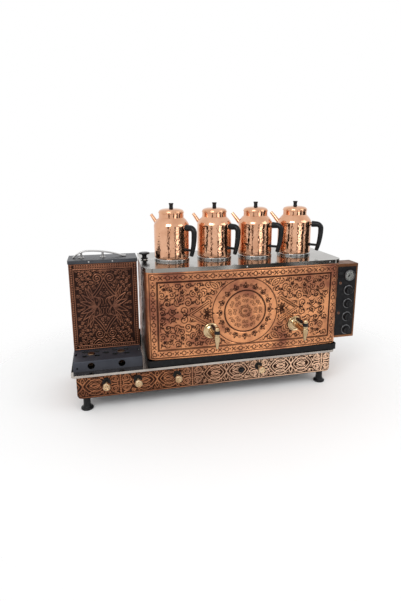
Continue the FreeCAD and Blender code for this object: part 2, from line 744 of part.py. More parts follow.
def gas_burners():
    """Two tube burners under the tank and two round burners under the coffee shelf."""
    pieces = []
    floor = S.deck_top + S.sheet_gauge
    radius = S.firebox_height / 4
    for index, y in enumerate((S.tank_front + S.tank_depth / 3, tank_back - S.tank_depth / 3)):
        tube = doc.addObject("Part::Cylinder", "tube_burner_%d" % index)
        bind(tube, Radius=radius, Height=S.tank_width - S.tank_corner * 2)
        place(tube, S.tank_left + S.tank_corner, y, floor + radius + 2, FreeCAD.Vector(0, 1, 0), 90)
        stands = [tube]
        for side in (1, 3, 5):
            stand = doc.addObject("Part::Box", "burner_stand_%d_%d" % (index, side))
            bind(stand, Length=radius, Width=radius, Height=radius)
            stands.append(place(stand, S.tank_left + S.tank_width * side / 6, y - radius / 2, floor))
        whole = doc.addObject("Part::MultiFuse", "long_burner_%d" % index)
        whole.Shapes = stands
        pieces.append(whole)
    cup = S.burner_cap_radius
    top = S.shelf_height + S.burner_cap_rise
    profile = [
        (0, 0), (cup + 10, 0), (cup + 10, 3), (cup - 4, 6), (cup - 4, S.shelf_height - 14),
        (cup + 4, S.shelf_height - 10), (cup + 4, S.shelf_height - 4),
        (cup, S.shelf_height - 3), (cup, top - 1.5), (cup - 2, top), (0, top),
    ]
    for index in range(2):
        burner = turned_piece("round_burner_%d" % index, profile)
        x = S.shelf_burner_x + S.shelf_burner_pitch * index
        pieces.append(place(burner, x, S.shelf_burner_y, S.deck_top))
    return together("gas_burners", pieces)


def coffee_shelf():
    """Folded steel step: a top with burner holes, a front and two sides."""
    body = new_body("coffee_shelf")
    left, right, wall = S.shelf_left, shelf_right, S.sheet_gauge
    outline = rounded_plan(left, right, S.shelf_front, column_back, S.shelf_edge)
    pad(body, "step", outline, S.shelf_height)
    inside = rectangle(left + wall, right - wall, S.shelf_front + wall, column_back + wall)
    pocket(body, "step_hollow", [inside], S.shelf_height - wall, upward=True)
    edge = [
        (S.shelf_front, S.shelf_height - S.shelf_edge, S.shelf_edge, -1),
        (S.shelf_front + S.shelf_edge, S.shelf_height),
        (S.shelf_front, S.shelf_height),
    ]
    rounding = new_sketch(body, "edge_outline", role="YZ_Plane")
    add_outline(rounding, edge)
    cut_both_ways(body, "edge", rounding, S.deck_width)
    holes = []
    for index in range(2):
        x = S.shelf_burner_x + S.shelf_burner_pitch * index
        holes.append((x, S.shelf_burner_y, S.burner_cap_radius + 1))
        for side in (-1, 1):
            for row in (-1, 1):
                holes.append((x + side * S.hole_offset_x, S.shelf_burner_y + row * S.hole_offset_y,
                              S.hole_radius * 0.88))
    middle = S.shelf_burner_x + S.shelf_burner_pitch / 2
    holes.append((middle, S.shelf_burner_y, S.hole_radius))
    slots = []
    for x in (left + S.end_slot_inset, right - S.end_slot_inset):
        half, long_half = S.end_slot_width / 2, S.end_slot_length / 2
        slots.append(rectangle(x - half, x + half, S.shelf_burner_y - long_half,
                               S.shelf_burner_y + long_half))
    pocket(body, "top_holes", slots, S.sheet_gauge * 2, rise=S.shelf_height, circles=holes)
    riser = new_sketch(body, "riser_outline", role="XZ_Plane")
    for index in range(2):
        x = S.shelf_burner_x + S.shelf_burner_pitch * index
        add_circle(riser, x, S.shelf_height / 2, S.riser_hole_radius)
    add_circle(riser, left + S.end_slot_inset * 1.6, S.shelf_height / 3, S.screw_radius * 0.9)
    cut_both_ways(body, "riser_holes", riser, S.shelf_front + S.sheet_gauge + 1)
    return place(body, 0, 0, S.deck_top)


def column_casing():
    """Embossed casing of the column: a front, two sides and a back."""
    body = new_body("column_casing")
    left, right = S.shelf_left, shelf_right
    height = S.column_height - S.sheet_gauge
    pad(body, "casing", rectangle(left, right, S.column_front, column_back), height)
    inside = rectangle(left + S.clad_gauge, right - S.clad_gauge,
                       S.column_front + S.clad_gauge, column_back - S.clad_gauge)
    pocket(body, "casing_hollow", [inside], height, rise=height)
    return place(body, 0, 0, shelf_top)


def column_lid():
    """Steel top of the column with a folded rim."""
    body = new_body("column_top")
    over = S.column_over
    gap = S.flat_gap
    left, right = S.shelf_left, shelf_right
    pad(body, "cover", rounded_plan(left - over, right + over, S.column_front - over,
                                    column_back + over, S.column_skirt / 2), S.column_skirt)
    inside = rectangle(left - gap, right + gap, S.column_front - gap, column_back + gap)
    pocket(body, "cover_hollow", [inside], S.column_skirt - S.sheet_gauge, upward=True)
    return place(body, 0, 0, column_top - S.column_skirt)


def column_handle():
    """Arched strip on two posts: steep at the left, long and low at the right."""
    strip = new_body("arch_strip")
    rise, gauge = S.arch_rise, S.arch_gauge
    short, long_run = S.arch_left_run, S.arch_right_run
    left_radius = (short * short + rise * rise) / (2 * rise)
    right_radius = (long_run * long_run + rise * rise) / (2 * rise)
    low = rise - gauge
    short_in, long_in = short - gauge * 1.6, long_run - gauge * 5
    left_inner = (short_in * short_in + low * low) / (2 * low)
    right_inner = (long_in * long_in + low * low) / (2 * low)
    outline = [
        (0, 0, left_radius, -1), (short, rise, right_radius, -1), (short + long_run, 0),
        (short + long_in, 0, right_inner, 1), (short, low, left_inner, 1), (short - short_in, 0),
    ]
    pad(strip, "arch", outline, S.arch_width)
    middle = S.column_front + S.column_depth / 2
    front_facing(strip, S.arch_left, middle + S.arch_width / 2, column_top)
    pieces = [strip]
    crown = S.arch_left + short
    for index, x in enumerate((S.arch_post_left_x, S.arch_post_right_x)):
        run, radius = (crown - x, left_inner) if index == 0 else (x - crown, right_inner)
        height = low - run * run / (2 * radius) + gauge / 2
        post = turned_piece("arch_post_%d" % index, [
            (0, 0), (S.arch_flange_radius, 0), (S.arch_flange_radius, 1),
            (S.arch_flange_radius - 2, S.arch_flange), (S.arch_post_radius, S.arch_flange),
            (S.arch_post_radius, height), (0, height),
        ])
        pieces.append(place(post, x, middle, column_top))
    whole = doc.addObject("Part::MultiFuse", "column_handle")
    whole.Shapes = pieces
    return whole


def gas_inlet():
    """Black upright stub with a ribbed nipple, where the gas comes up behind the shelf."""
    radius, height = S.stub_radius, S.stub_height
    body = turned_piece("gas_inlet", [
        (0, 0), (radius, 0), (radius, height * 0.45), (radius * 0.8, height * 0.5),
        (radius * 0.8, height * 0.9), (radius * 0.6, height), (0, height),
    ])
    return place(body, S.tank_left - S.stub_side, S.deck_depth - S.stub_back, S.deck_top)


def tank_outline(grow):
    """The tank in plan, its front swelling; grow moves the whole outline outward."""
    left, right = S.tank_left - grow, tank_right + grow
    front, back = S.tank_front - grow, tank_back + grow
    corner = S.tank_corner + grow
    return [
        (left + corner, front, front_radius + grow, 1), (right - corner, front, corner, 1),
        (right, front + corner), (right, back), (left, back),
        (left, front + corner, corner, 1),
    ]


def tank_cladding():
    """Embossed copper round the front and both sides of the tank."""
    body = new_body("tank_cladding")
    gauge = S.clad_gauge
    height = S.tank_height - S.top_gauge
    pad(body, "wrap", tank_outline(as_size(0)), height)
    left, right = S.tank_left + gauge, tank_right - gauge
    front, corner = S.tank_front + gauge, S.tank_corner - gauge
    inside = [
        (left + corner, front, front_radius - gauge, 1), (right - corner, front, corner, 1),
        (right, front + corner), (right, tank_back + gauge), (left, tank_back + gauge),
        (left, front + corner, corner, 1),
    ]
    pocket(body, "wrap_hollow", [inside], height, rise=height)
    tap_holes(body, "wrap_taps")
    heater_hole(body, "wrap_heater")
    return place(body, 0, 0, tank_bottom)


def tap_holes(body, name):
    """Two holes through a front wall for the tap shanks."""
    drawing = new_sketch(body, name + "_outline", role="XZ_Plane")
    for x in (S.tap_one_x, S.tap_two_x):
        add_circle(drawing, x, S.tap_rise - S.firebox_height, S.shank_radius + S.bore_gap)
    cut_both_ways(body, name, drawing, S.vessel_front + S.tank_corner)


def heater_hole(body, name):
    """A hole through the right wall for the heating element."""
    drawing = new_sketch(body, name + "_outline", role="YZ_Plane",
                         rise=tank_right - S.tank_corner / 2)
    add_circle(drawing, heater_y(), S.heater_rise, S.heater_half + S.heater_radius * 1.4)
    cut_both_ways(body, name, drawing, S.tank_corner)


def heater_y():
    return S.control_front + S.control_depth / 2


def water_vessel():
    """Steel vessel that holds the water; the tank top closes it."""
    body = new_body("water_vessel")
    left, right = S.tank_left + S.clad_gauge, tank_right - S.clad_gauge
    height, wall = S.tank_height - S.top_gauge, S.sheet_gauge
    pad(body, "shell", rounded_plan(left, right, S.vessel_front, tank_back, S.vessel_corner),
        height)
    inside = rounded_plan(left + wall, right - wall, S.vessel_front + wall, tank_back - wall,
                          S.vessel_corner - wall)
    pocket(body, "shell_hollow", [inside], height - wall, rise=height)
    tap_holes(body, "shell_taps")
    heater_hole(body, "shell_heater")
    return place(body, 0, 0, tank_bottom)


def tank_lid():
    """Steel top with a folded rim and a short collar round the filler opening."""
    body = new_body("tank_top")
    pad(body, "cover", tank_outline(S.sheet_gauge + S.flat_gap), S.rim_height)
    pocket(body, "cover_hollow", [tank_outline(S.flat_gap)], S.rim_height - S.top_gauge,
           upward=True)
    collar = new_sketch(body, "collar_outline", rise=S.rim_height - S.top_gauge)
    add_circle(collar, S.filler_x, S.filler_y, S.filler_bore + S.filler_lip)
    feature = body.newObject("PartDesign::Pad", "collar")
    feature.Profile = collar
    bind(feature, Length=S.top_gauge + S.filler_rise)
    pocket(body, "filler_hole", [], S.top_gauge + S.filler_rise,
           rise=S.rim_height + S.filler_rise, circles=[(S.filler_x, S.filler_y, S.filler_bore)])
    return place(body, 0, 0, tank_top - S.rim_height)


def pot_places():
    return [S.pot_one_x + S.pot_pitch * index for index in range(4)]


def pot_seats():
    """Four raised round seats on the tank top."""
    height = S.seat_height
    profile = [
        (0, 0), (S.seat_radius, 0), (S.seat_radius, height - 3), (S.seat_radius - 3, height),
        (0, height),
    ]
    pieces = []
    for index, x in enumerate(pot_places(), start=1):
        seat = turned_piece("seat_%d" % index, profile)
        pieces.append(place(seat, x, S.pot_y, tank_top))
    return together("pot_seats", pieces)


def slanted(body, kind, name, start_x, start_z, end_x, end_z, first, last):
    """A cone of the body's own, from one point of its XZ plane to another."""
    cone = body.newObject("PartDesign::" + kind, name)
    run, rise = as_size(end_x - start_x), as_size(end_z - start_z)
    length = math.hypot(run.value, rise.value)
    tilt = math.degrees(math.atan2(run.value, rise.value))
    cone.Placement = FreeCAD.Placement(
        FreeCAD.Vector(as_size(start_x).value, 0, as_size(start_z).value),
        FreeCAD.Rotation(FreeCAD.Vector(0, 1, 0), tilt))
    cone.Height = length
    return bind(cone, Radius1=first, Radius2=last)


def pot_body(number, x, angle):
    """Teapot: a turned shell with a straight spout and two pins for its handle."""
    body = new_body("pot_body_%d" % number)
    wall = S.pot_wall
    foot_arc, shoulder_arc = S.pot_foot_arc, S.pot_shoulder_arc
    shell = [
        (0, 0), (S.pot_foot_radius, 0, foot_arc, 1), (S.pot_radius, foot_arc),
        (S.pot_radius, S.pot_shoulder, shoulder_arc, 1), (S.pot_neck_radius, S.pot_neck_start),
        (S.pot_neck_radius, S.pot_height), (0, S.pot_height),
    ]
    turn(body, "shell_%d" % number, shell)
    spout_in = S.spout_root - S.spout_inside
    slope = (S.spout_height - S.spout_root_height) / (S.spout_reach - S.spout_root)
    spout_low = S.spout_root_height - slope * S.spout_inside
    slanted(body, "AdditiveCone", "spout_%d" % number, -S.spout_root, S.spout_root_height,
            -S.spout_reach, S.spout_height, S.spout_root_radius, S.spout_tip_radius)
    grip_face = S.handle_reach - S.handle_radius
    below_knee = handle_knee() - S.handle_pin_height + S.handle_pin
    draw_in = below_knee * below_knee / (2 * handle_low_radius())
    for name, level, radius, reach in (
            ("upper", S.handle_height, S.handle_lug, S.pot_radius + S.handle_off),
            ("lower", S.handle_pin_height, S.handle_pin, grip_face - draw_in)):
        pin = body.newObject("PartDesign::AdditiveCylinder", "%s_pin_%d" % (name, number))
        start = S.pot_radius - 4
        pin.Placement = FreeCAD.Placement(
            FreeCAD.Vector(start.value, 0, level.value),
            FreeCAD.Rotation(FreeCAD.Vector(0, 1, 0), 90))
        bind(pin, Radius=radius, Height=reach - start - S.flat_gap)
    hollow = [
        (0, wall), (S.pot_foot_radius - wall, wall, foot_arc - wall, 1),
        (S.pot_radius - wall, foot_arc), (S.pot_radius - wall, S.pot_shoulder, shoulder_arc, 1),
        (S.pot_neck_radius - wall, S.pot_neck_start),
        (S.pot_neck_radius - wall, S.pot_height), (0, S.pot_height),
    ]
    groove(body, "inside_%d" % number, hollow)
    slanted(body, "SubtractiveCone", "spout_bore_%d" % number, -spout_in, spout_low,
            -S.spout_reach - slope * 0.1, S.spout_height + slope * 0.1,
            S.spout_root_radius - wall, S.spout_tip_radius - wall)
    return place(body, x, S.pot_y, seat_top, LEVEL, angle)


def handle_knee():
    return S.handle_pin_height + S.handle_knee_rise


def handle_low_radius():
    """Radius of the grip's lower stretch, which draws in towards the pot."""
    drop = handle_knee() - S.handle_end
    return (drop * drop + S.handle_tip_in * S.handle_tip_in) / (2 * S.handle_tip_in)


def pot_handle(number, x, angle):
    """Black handle: a thick arm out of the body, then a grip that hangs down beside it."""
    body = new_body("pot_handle_%d" % number)
    start = S.pot_radius + S.handle_off
    reach, top, bend = S.handle_reach, S.handle_height, S.handle_bend
    spine = new_sketch(body, "handle_path_%d" % number, role="XZ_Plane")
    knee = handle_knee()
    add_outline(spine, [
        (start, top), (reach - bend, top, bend, -1), (reach, top - bend),
        (reach, knee, handle_low_radius(), -1), (reach - S.handle_tip_in, S.handle_end),
    ], closed=False)
    section = new_sketch(body, "handle_section_%d" % number, role="YZ_Plane", rise=start)
    add_circle(section, 0, top, S.handle_radius)
    pipe = body.newObject("PartDesign::AdditivePipe", "grip_%d" % number)
    pipe.Profile = section
    pipe.Spine = spine
    root = body.newObject("PartDesign::AdditiveCone", "root_%d" % number)
    root.Placement = FreeCAD.Placement(
        FreeCAD.Vector(start.value, 0, top.value),
        FreeCAD.Rotation(FreeCAD.Vector(0, 1, 0), 90))
    bind(root, Radius1=S.handle_root, Radius2=S.handle_radius + 0.5, Height=reach - start - bend + 6)
    return place(body, x, S.pot_y, seat_top, LEVEL, angle)


def pot_lid(number, x):
    """Domed lid with a rim and a collar that drops into the neck."""
    body = new_body("pot_lid_%d" % number)
    wall, rim, rise = S.pot_wall, S.lid_rim, S.lid_rise
    collar = S.pot_neck_radius - wall - S.lid_play
    flat = S.lid_seat_radius
    width, climb = S.lid_radius - 1 - flat, rise - rim
    dome = (width * width + climb * climb) / (2 * climb)
    turn(body, "lid_%d" % number, [
        (0, rise - wall), (flat, rise - wall, dome, -1), (collar - wall, rim - wall),
        (collar - wall, -S.lid_plug), (collar, -S.lid_plug), (collar, 0), (S.lid_radius, 0),
        (S.lid_radius, rim - 1), (S.lid_radius - 1, rim, dome, 1), (flat, rise), (0, rise),
    ])
    return place(body, x, S.pot_y, seat_top + S.pot_height)


def lid_knob(number, x):
    """Black knob with a flared top."""
    stem, top, height = S.knob_stem_radius, S.knob_top_radius, S.knob_height
    body = turned_piece("lid_knob_%d" % number, [
        (0, 0), (stem + 1.5, 0), (stem + 1.5, 2), (stem, 4), (stem, height - 12),
        (top, height - 5), (top, height - 1.5), (top - 1.5, height), (0, height),
    ])
    return place(body, x, S.pot_y, seat_top + S.pot_height + S.lid_rise)


def tap_rosettes():
    """Dished brass discs where the taps leave the tank."""
    radius, rise = S.rosette_radius, S.rosette_rise
    inner = S.barrel_radius + S.bore_gap
    pieces = []
    for index, (x, seat) in enumerate(zip((S.tap_one_x, S.tap_two_x), tap_seats)):
        disc = turned_piece("rosette_%d" % index, [
            (inner, 0), (radius, 0), (radius, 2), (radius - 3, 3.5), (radius - 8, 3.5),
            (radius - 16, rise), (inner, rise),
        ])
        pieces.append(front_facing(disc, x, seat, S.deck_top + S.tap_rise))
    return together("tap_rosettes", pieces)


def tap_body(index, x, seat):
    """One brass tap: barrel, upright body, tapering outlet, stem and cap, with its water way."""
    level = S.deck_top + S.tap_rise
    nose = seat - S.tap_reach
    back = S.vessel_front + S.sheet_gauge
    barrel = turned_piece("tap_barrel_%d" % index, [
        (0, seat - back - 8), (S.barrel_radius + 6, seat - back - 8),
        (S.barrel_radius + 6, seat - back - S.flat_gap), (S.shank_radius, seat - back - S.flat_gap),
        (S.shank_radius, 0), (S.barrel_radius, 0), (S.barrel_radius, S.tap_reach),
        (0, S.tap_reach),
    ])
    front_facing(barrel, x, seat, level)
    cap_base = S.tap_body_up + S.lever_height
    stem = S.tap_stem_radius
    upright = turned_piece("tap_upright_%d" % index, [
        (0, -S.tap_outlet), (S.tap_tip_radius, -S.tap_outlet), (S.barrel_radius, -S.tap_body_down),
        (S.tap_body_radius, -S.tap_body_down / 2), (S.tap_body_radius, S.tap_body_up), (stem, S.tap_body_up),
        (stem, cap_base + S.bore_gap), (S.tap_cap_radius, cap_base + S.bore_gap),
        (S.tap_cap_radius, cap_base + S.tap_cap_height - 2),
        (S.tap_cap_radius - 2, cap_base + S.tap_cap_height), (0, cap_base + S.tap_cap_height),
    ])
    place(upright, x, nose, level)
    solid = doc.addObject("Part::MultiFuse", "tap_solid_%d" % index)
    solid.Shapes = [barrel, upright]
    along = doc.addObject("Part::Cylinder", "tap_way_%d" % index)
    bind(along, Radius=S.tap_bore, Height=S.tap_reach + back - seat + 10)
    front_facing(along, x, back + 10, level)
    down = doc.addObject("Part::Cylinder", "tap_drop_%d" % index)
    bind(down, Radius=S.tap_bore, Height=S.tap_outlet + 1)
    place(down, x, nose, level - S.tap_outlet - 1)
    ways = doc.addObject("Part::MultiFuse", "tap_ways_%d" % index)
    ways.Shapes = [along, down]
    item = doc.addObject("Part::Cut", "tap_%d" % index)
    item.Base = solid
    item.Tool = ways
    return item


def tap_bodies():
    taps = [tap_body(index, x, seat) for index, (x, seat)
            in enumerate(zip((S.tap_one_x, S.tap_two_x), tap_seats))]
    return together("tap_bodies", taps)


def tap_lever(side, x, seat):
    """Lever: a hub that turns on the stem, a slim neck and a thick black grip."""
    nose = seat - S.tap_reach
    base = S.deck_top + S.tap_rise + S.tap_body_up + S.bore_gap / 2
    hub = doc.addObject("Part::Cylinder", "lever_hub_" + side)
    bind(hub, Radius=S.lever_hub_radius, Height=S.lever_height)
    place(hub, x, nose, base)
    hole = doc.addObject("Part::Cylinder", "lever_hole_" + side)
    bind(hole, Radius=S.tap_stem_radius + S.run_gap, Height=S.lever_height + 2)
    place(hole, x, nose, base - 1)
    middle = base + S.lever_height / 2
    neck = doc.addObject("Part::Cylinder", "lever_neck_" + side)
    neck_start = S.tap_stem_radius + 2
    bind(neck, Radius=S.neck_radius, Height=S.lever_length - S.grip_length - neck_start + 4)
    place(neck, x, nose + neck_start, middle, ACROSS, -90)
    grip = turned_piece("lever_grip_" + side, [
        (0, 0), (S.grip_radius - 3, 0), (S.grip_radius - 1, 2), (S.grip_radius, 8),
        (S.grip_radius, S.grip_length - 5), (S.grip_radius - 3, S.grip_length), (0, S.grip_length),
    ])
    place(grip, x, nose + S.lever_length - S.grip_length, middle, ACROSS, -90)
    solid = doc.addObject("Part::MultiFuse", "lever_solid_" + side)
    solid.Shapes = [hub, neck, grip]
    item = doc.addObject("Part::Cut", "tap_lever_" + side)
    item.Base = solid
    item.Tool = hole
    return item


def filler_cap():
    """Small round lid that plugs the filler opening."""
    plug = S.filler_bore - 0.5
    depth = S.filler_rise + S.top_gauge + 4
    body = turned_piece("filler_cap", [
        (0, -depth), (plug, -depth), (plug, 0), (S.filler_lid_radius, 0),
        (S.filler_lid_radius, S.filler_lid - 1), (S.filler_lid_radius - 1, S.filler_lid),
        (0, S.filler_lid),
    ])
    return place(body, S.filler_x, S.filler_y, tank_top + S.filler_rise)


def filler_knob():
    """Black knob on the filler lid: a tapered stem under a wide flat head."""
    radius, height = S.filler_knob_radius, S.filler_knob_height
    body = turned_piece("filler_knob", [
        (0, 0), (radius * 0.45, 0), (radius * 0.42, height * 0.45), (radius * 0.6, height * 0.62),
        (radius, height * 0.72), (radius, height - 2), (radius - 2, height), (0, height),
    ])
    return place(body, S.filler_x, S.filler_y, tank_top + S.filler_rise + S.filler_lid)


def heating_element():
    """Hairpin rod in the water, held by a round head outside the tank's right wall."""
    level = tank_bottom + S.heater_rise
    inside = tank_right - S.heater_length
    legs = []
    for side in (-1, 1):
        leg = doc.addObject("Part::Cylinder", "heater_leg_%d" % (side + 2))
        bind(leg, Radius=S.heater_radius, Height=S.heater_length + 2)
        legs.append(place(leg, inside, heater_y() + side * S.heater_half, level,
                          FreeCAD.Vector(0, 1, 0), 90))
    bend = doc.addObject("Part::Torus", "heater_bend")
    bind(bend, Radius1=S.heater_half, Radius2=S.heater_radius)
    bend.Angle3 = 180
    place(bend, inside, heater_y(), level, LEVEL, 90)
    head = doc.addObject("Part::Cylinder", "heater_head")
    bind(head, Radius=S.heater_head_radius, Height=S.heater_radius * 2)
    place(head, tank_right + S.flat_gap, heater_y(), level, FreeCAD.Vector(0, 1, 0), 90)
    whole = doc.addObject("Part::MultiFuse", "heating_element")
    whole.Shapes = legs + [bend, head]
    return whole


def control_casing():
    """Copper-coloured box on the tank's right side, open where the panel closes it."""
    body = new_body("control_casing")
    left, right, wall = tank_right, control_right, S.sheet_gauge
    front, back = S.control_front, S.control_front + S.control_depth
    outline = rounded_plan(left, right, front, back, S.sheet_gauge * 2)
    outline = [(left, front)] + outline[1:-1]
    pad(body, "box", outline, S.control_height)
    inside = rectangle(left - wall, right - wall, front + S.panel_gauge, back - wall)
    pocket(body, "box_hollow", [inside], S.control_height - wall * 2, rise=S.control_height - wall)
    window = new_sketch(body, "window_outline", role="XZ_Plane", rise=-front - S.panel_gauge)
    add_outline(window, panel_outline(left, as_size(0)))
    cut_both_ways(body, "window", window, S.panel_gauge + 1)
    return place(body, 0, 0, control_bottom)


def panel_outline(left, gap):
    return rectangle(left + gap, left + S.control_width - S.panel_side - gap,
                     S.panel_low + gap, S.control_height - S.panel_high - gap)


def dial_x():
    return tank_right + S.dial_x


def thermostat_levels():
    return [S.thermo_rise + S.thermo_pitch * index for index in range(4)]


def control_panel():
    """Black front plate with holes for the gauge, the thermostats, the switch and the lamps."""
    body = new_body("control_panel")
    foot = S.control_foot
    gap = S.flat_gap
    holes = [(S.dial_x, S.gauge_rise - foot, S.gauge_radius - 4)]
    for level in thermostat_levels():
        holes.append((S.dial_x, level - foot, S.thermo_knob_radius / 2))
    for level in (S.low_lamp_rise, S.high_lamp_rise):
        holes.append((S.lamp_x, level - foot, S.lamp_radius))
    pad(body, "plate", panel_outline(gap, gap), S.panel_gauge, circles=holes)
    half, tall = S.switch_width / 2, S.switch_height / 2
    level = S.switch_rise - foot
    slot = rectangle(S.lamp_x - half + gap * 4, S.lamp_x + half - gap * 4,
                     level - tall + gap * 4, level + tall - gap * 4)
    pocket(body, "switch_slot", [slot], S.panel_gauge, rise=S.panel_gauge)
    return front_facing(body, tank_right, S.control_front + S.panel_gauge, control_bottom)


def gauge_body():
    """Steel bezel of the gauge, with its case behind the panel and a pivot for the needle."""
    radius = S.gauge_radius
    case = radius - 4 - S.bore_gap
    body = turned_piece("gauge_body", [
        (0, -20), (case, -20), (case, 0), (radius, 0), (radius, 6), (radius - 1.5, 8),
        (radius - 4, 8), (radius - 4, 2), (1, 2), (1, 4.4), (0, 4.4),
    ])
    return front_facing(body, dial_x(), S.control_front, S.deck_top + S.gauge_rise)


def gauge_glass():
    radius = S.gauge_radius - 4 - S.bore_gap
    body = turned_piece("gauge_glass", [(0, 5.8), (radius, 5.8), (radius, 7.3), (0, 7.3)])
    return front_facing(body, dial_x(), S.control_front, S.deck_top + S.gauge_rise)


def gauge_needle():
    """Thin needle on the gauge's pivot."""
    hub = doc.addObject("Part::Cylinder", "needle_hub")
    bind(hub, Radius=3.2, Height=1.2)
    bar = doc.addObject("Part::Box", "needle_bar")
    bind(bar, Length=S.gauge_radius - 8, Width=1.4, Height=0.8)
    bar.Placement = FreeCAD.Placement(FreeCAD.Vector(-4, -0.7, 0), FreeCAD.Rotation())
    hole = doc.addObject("Part::Cylinder", "needle_hole")
    bind(hole, Radius=1 + S.run_gap, Height=4)
    hole.Placement = FreeCAD.Placement(FreeCAD.Vector(0, 0, -1), FreeCAD.Rotation())
    solid = doc.addObject("Part::MultiFuse", "needle_solid")
    solid.Shapes = [hub, bar]
    item = doc.addObject("Part::Cut", "gauge_needle")
    item.Base = solid
    item.Tool = hole
    item.Placement = FreeCAD.Placement(
        FreeCAD.Vector(), FreeCAD.Rotation(ACROSS, 90).multiply(FreeCAD.Rotation(LEVEL, 225)))
    item.setExpression("Placement.Base.x", (dial_x() - centre_x).text)
    item.setExpression("Placement.Base.y", (S.control_front - 2.8 - centre_y).text)
    item.setExpression("Placement.Base.z", (S.deck_top + S.gauge_rise).text)
    return item


def thermostat_bodies():
    """Thermostats behind the panel, each with a steel ring on its face and a bore."""
    ring = S.thermo_ring_radius
    bore = S.spindle_radius * 0.75 + S.run_gap
    case = S.thermo_knob_radius / 2 - S.bore_gap
    pieces = []
    for index, level in enumerate(thermostat_levels(), start=1):
        body = turned_piece("thermostat_body_%d" % index, [
            (bore, -S.thermo_depth), (ring * 0.8, -S.thermo_depth),
            (ring * 0.8, -S.panel_gauge - S.flat_gap),
            (case, -S.panel_gauge - S.flat_gap), (case, 0), (ring, 0), (ring, 1.5),
            (ring - 1, 2.5), (bore, 2.5),
        ])
        pieces.append(front_facing(body, dial_x(), S.control_front, S.deck_top + level))
    return together("thermostat_bodies", pieces)


def thermostat_knob(number, level):
    """Round control knob with a skirt, a raised bar across its face and its spindle."""
    radius, height = S.thermo_knob_radius, S.thermo_knob_height
    spindle = S.spindle_radius * 0.75
    body = new_body("thermostat_knob_%d" % number)
    turn(body, "dial_%d" % number, [
        (0, -S.thermo_spindle), (spindle, -S.thermo_spindle), (spindle, 3), (radius + 1.5, 3),
        (radius + 1.5, 4.5), (radius, 6), (radius - 1.5, height - 2), (radius - 3.5, height),
        (0, height),
    ])
    pad(body, "bar_%d" % number, rectangle(-3, 3, -radius + 2, radius - 2), 3, rise=height - 0.5)
    return front_facing(body, dial_x(), S.control_front, S.deck_top + level)


def indicator_lamps():
    """Two small lenses in the panel."""
    pieces = []
    radius = S.lamp_radius - S.bore_gap
    for index, level in enumerate((S.low_lamp_rise, S.high_lamp_rise), start=1):
        lens = turned_piece("lamp_%d" % index, [
            (0, -S.lamp_depth), (radius, -S.lamp_depth), (radius, 0), (radius + 2, 0), (radius + 2, 1.5),
            (radius, 2), (radius - 1, 4), (0, 4.6),
        ])
        x = tank_right + S.lamp_x
        pieces.append(front_facing(lens, x, S.control_front, S.deck_top + level))
    return together("indicator_lamps", pieces)


def power_switch():
    """Rocker in the panel's slot, turning on a level axis behind the panel's face."""
    half = S.switch_width / 2 - S.flat_gap * 5
    tall = S.switch_height / 2 - S.flat_gap * 6
    body = new_body("power_switch")
    outline = [
        (3 - tall, -8), (tall - 3, -8), (tall, -1.5), (tall, 2), (0, 0.5), (-tall, 4.5),
        (-tall, -1.5),
    ]
    pad(body, "rocker", outline, half * 2)
    item = place(body, tank_right + S.lamp_x - half, S.control_front, S.deck_top + S.switch_rise)
    turned = FreeCAD.Rotation(FreeCAD.Vector(0, 0, 1), FreeCAD.Vector(0, -1, 0),
                              FreeCAD.Vector(1, 0, 0), "ZXY")
    item.Placement = FreeCAD.Placement(item.Placement.Base, turned)
    return item


def cover_screws():
    """Round screw heads: two on the column's rim and two on the tank's rim."""
    head = [(0, 0), (S.screw_radius, 0), (S.screw_radius - 1, S.screw_rise), (0, S.screw_rise)]
    rim = S.sheet_gauge + S.flat_gap
    spots = [(S.shelf_left + x, S.column_front - S.column_over, column_top - S.column_skirt / 2)
             for x in (S.left_screw_x, S.right_screw_x)]
    for x in (tank_middle - S.middle_screw_x, tank_right - S.side_screw_x):
        spots.append((x, tank_front_at(x) - rim - S.flat_gap, tank_top - S.rim_height / 2))
    pieces = []
    for x, y, z in spots:
        screw = turned_piece("screw_%d" % (len(pieces) + 1), head)
        pieces.append(front_facing(screw, x, y, z))
    return together("cover_screws", pieces)


POT_TURNS = (-50, -50, -44, -44)

parts = [
    base_chassis(), base_cladding(), top_deck(), feet(), gas_manifold(), gas_valves(),
    valve_bezels(), igniter_body(), igniter_button(), gas_burners(), fire_box(), coffee_shelf(),
    column_casing(), column_lid(), column_handle(), gas_inlet(), tank_cladding(), water_vessel(),
    tank_lid(), pot_seats(), tap_rosettes(), tap_bodies(), filler_cap(), filler_knob(),
    heating_element(), control_casing(), control_panel(), gauge_body(), gauge_glass(),
    gauge_needle(), thermostat_bodies(), indicator_lamps(), power_switch(), cover_screws(),
]
for side, x, seat in zip(("left", "right"), (S.tap_one_x, S.tap_two_x), tap_seats):
    parts.append(tap_lever(side, x, seat))
for number, x in enumerate(valve_places(), start=1):
    parts.append(gas_knob(number, x))
for number, level in enumerate(thermostat_levels(), start=1):
    parts.append(thermostat_knob(number, level))
for number, (x, angle) in enumerate(zip(pot_places(), POT_TURNS), start=1):
    parts.append(pot_body(number, x, angle))
    parts.append(pot_handle(number, x, angle))
    parts.append(pot_lid(number, x))
    parts.append(lid_knob(number, x))

doc.recompute()
for item in doc.Objects:
    if "Invalid" in item.State or "Error" in item.State:
        raise RuntimeError("%s failed: %s" % (item.Name, item.State))
for item in parts:
    if item.Shape.isNull() or not item.Shape.isValid():
        raise RuntimeError(item.Label + " has no valid shape")

os.makedirs("parts", exist_ok=True)
for item in parts:
    item.Shape.exportStep("parts/%s.step" % item.Label)
print("%d parts written" % len(parts))
box = parts[0].Shape.BoundBox
for item in parts[1:]:
    box.add(item.Shape.BoundBox)
print("x %.2f to %.2f, y %.2f to %.2f, z %.2f to %.2f"
      % (box.XMin, box.XMax, box.YMin, box.YMax, box.ZMin, box.ZMax))
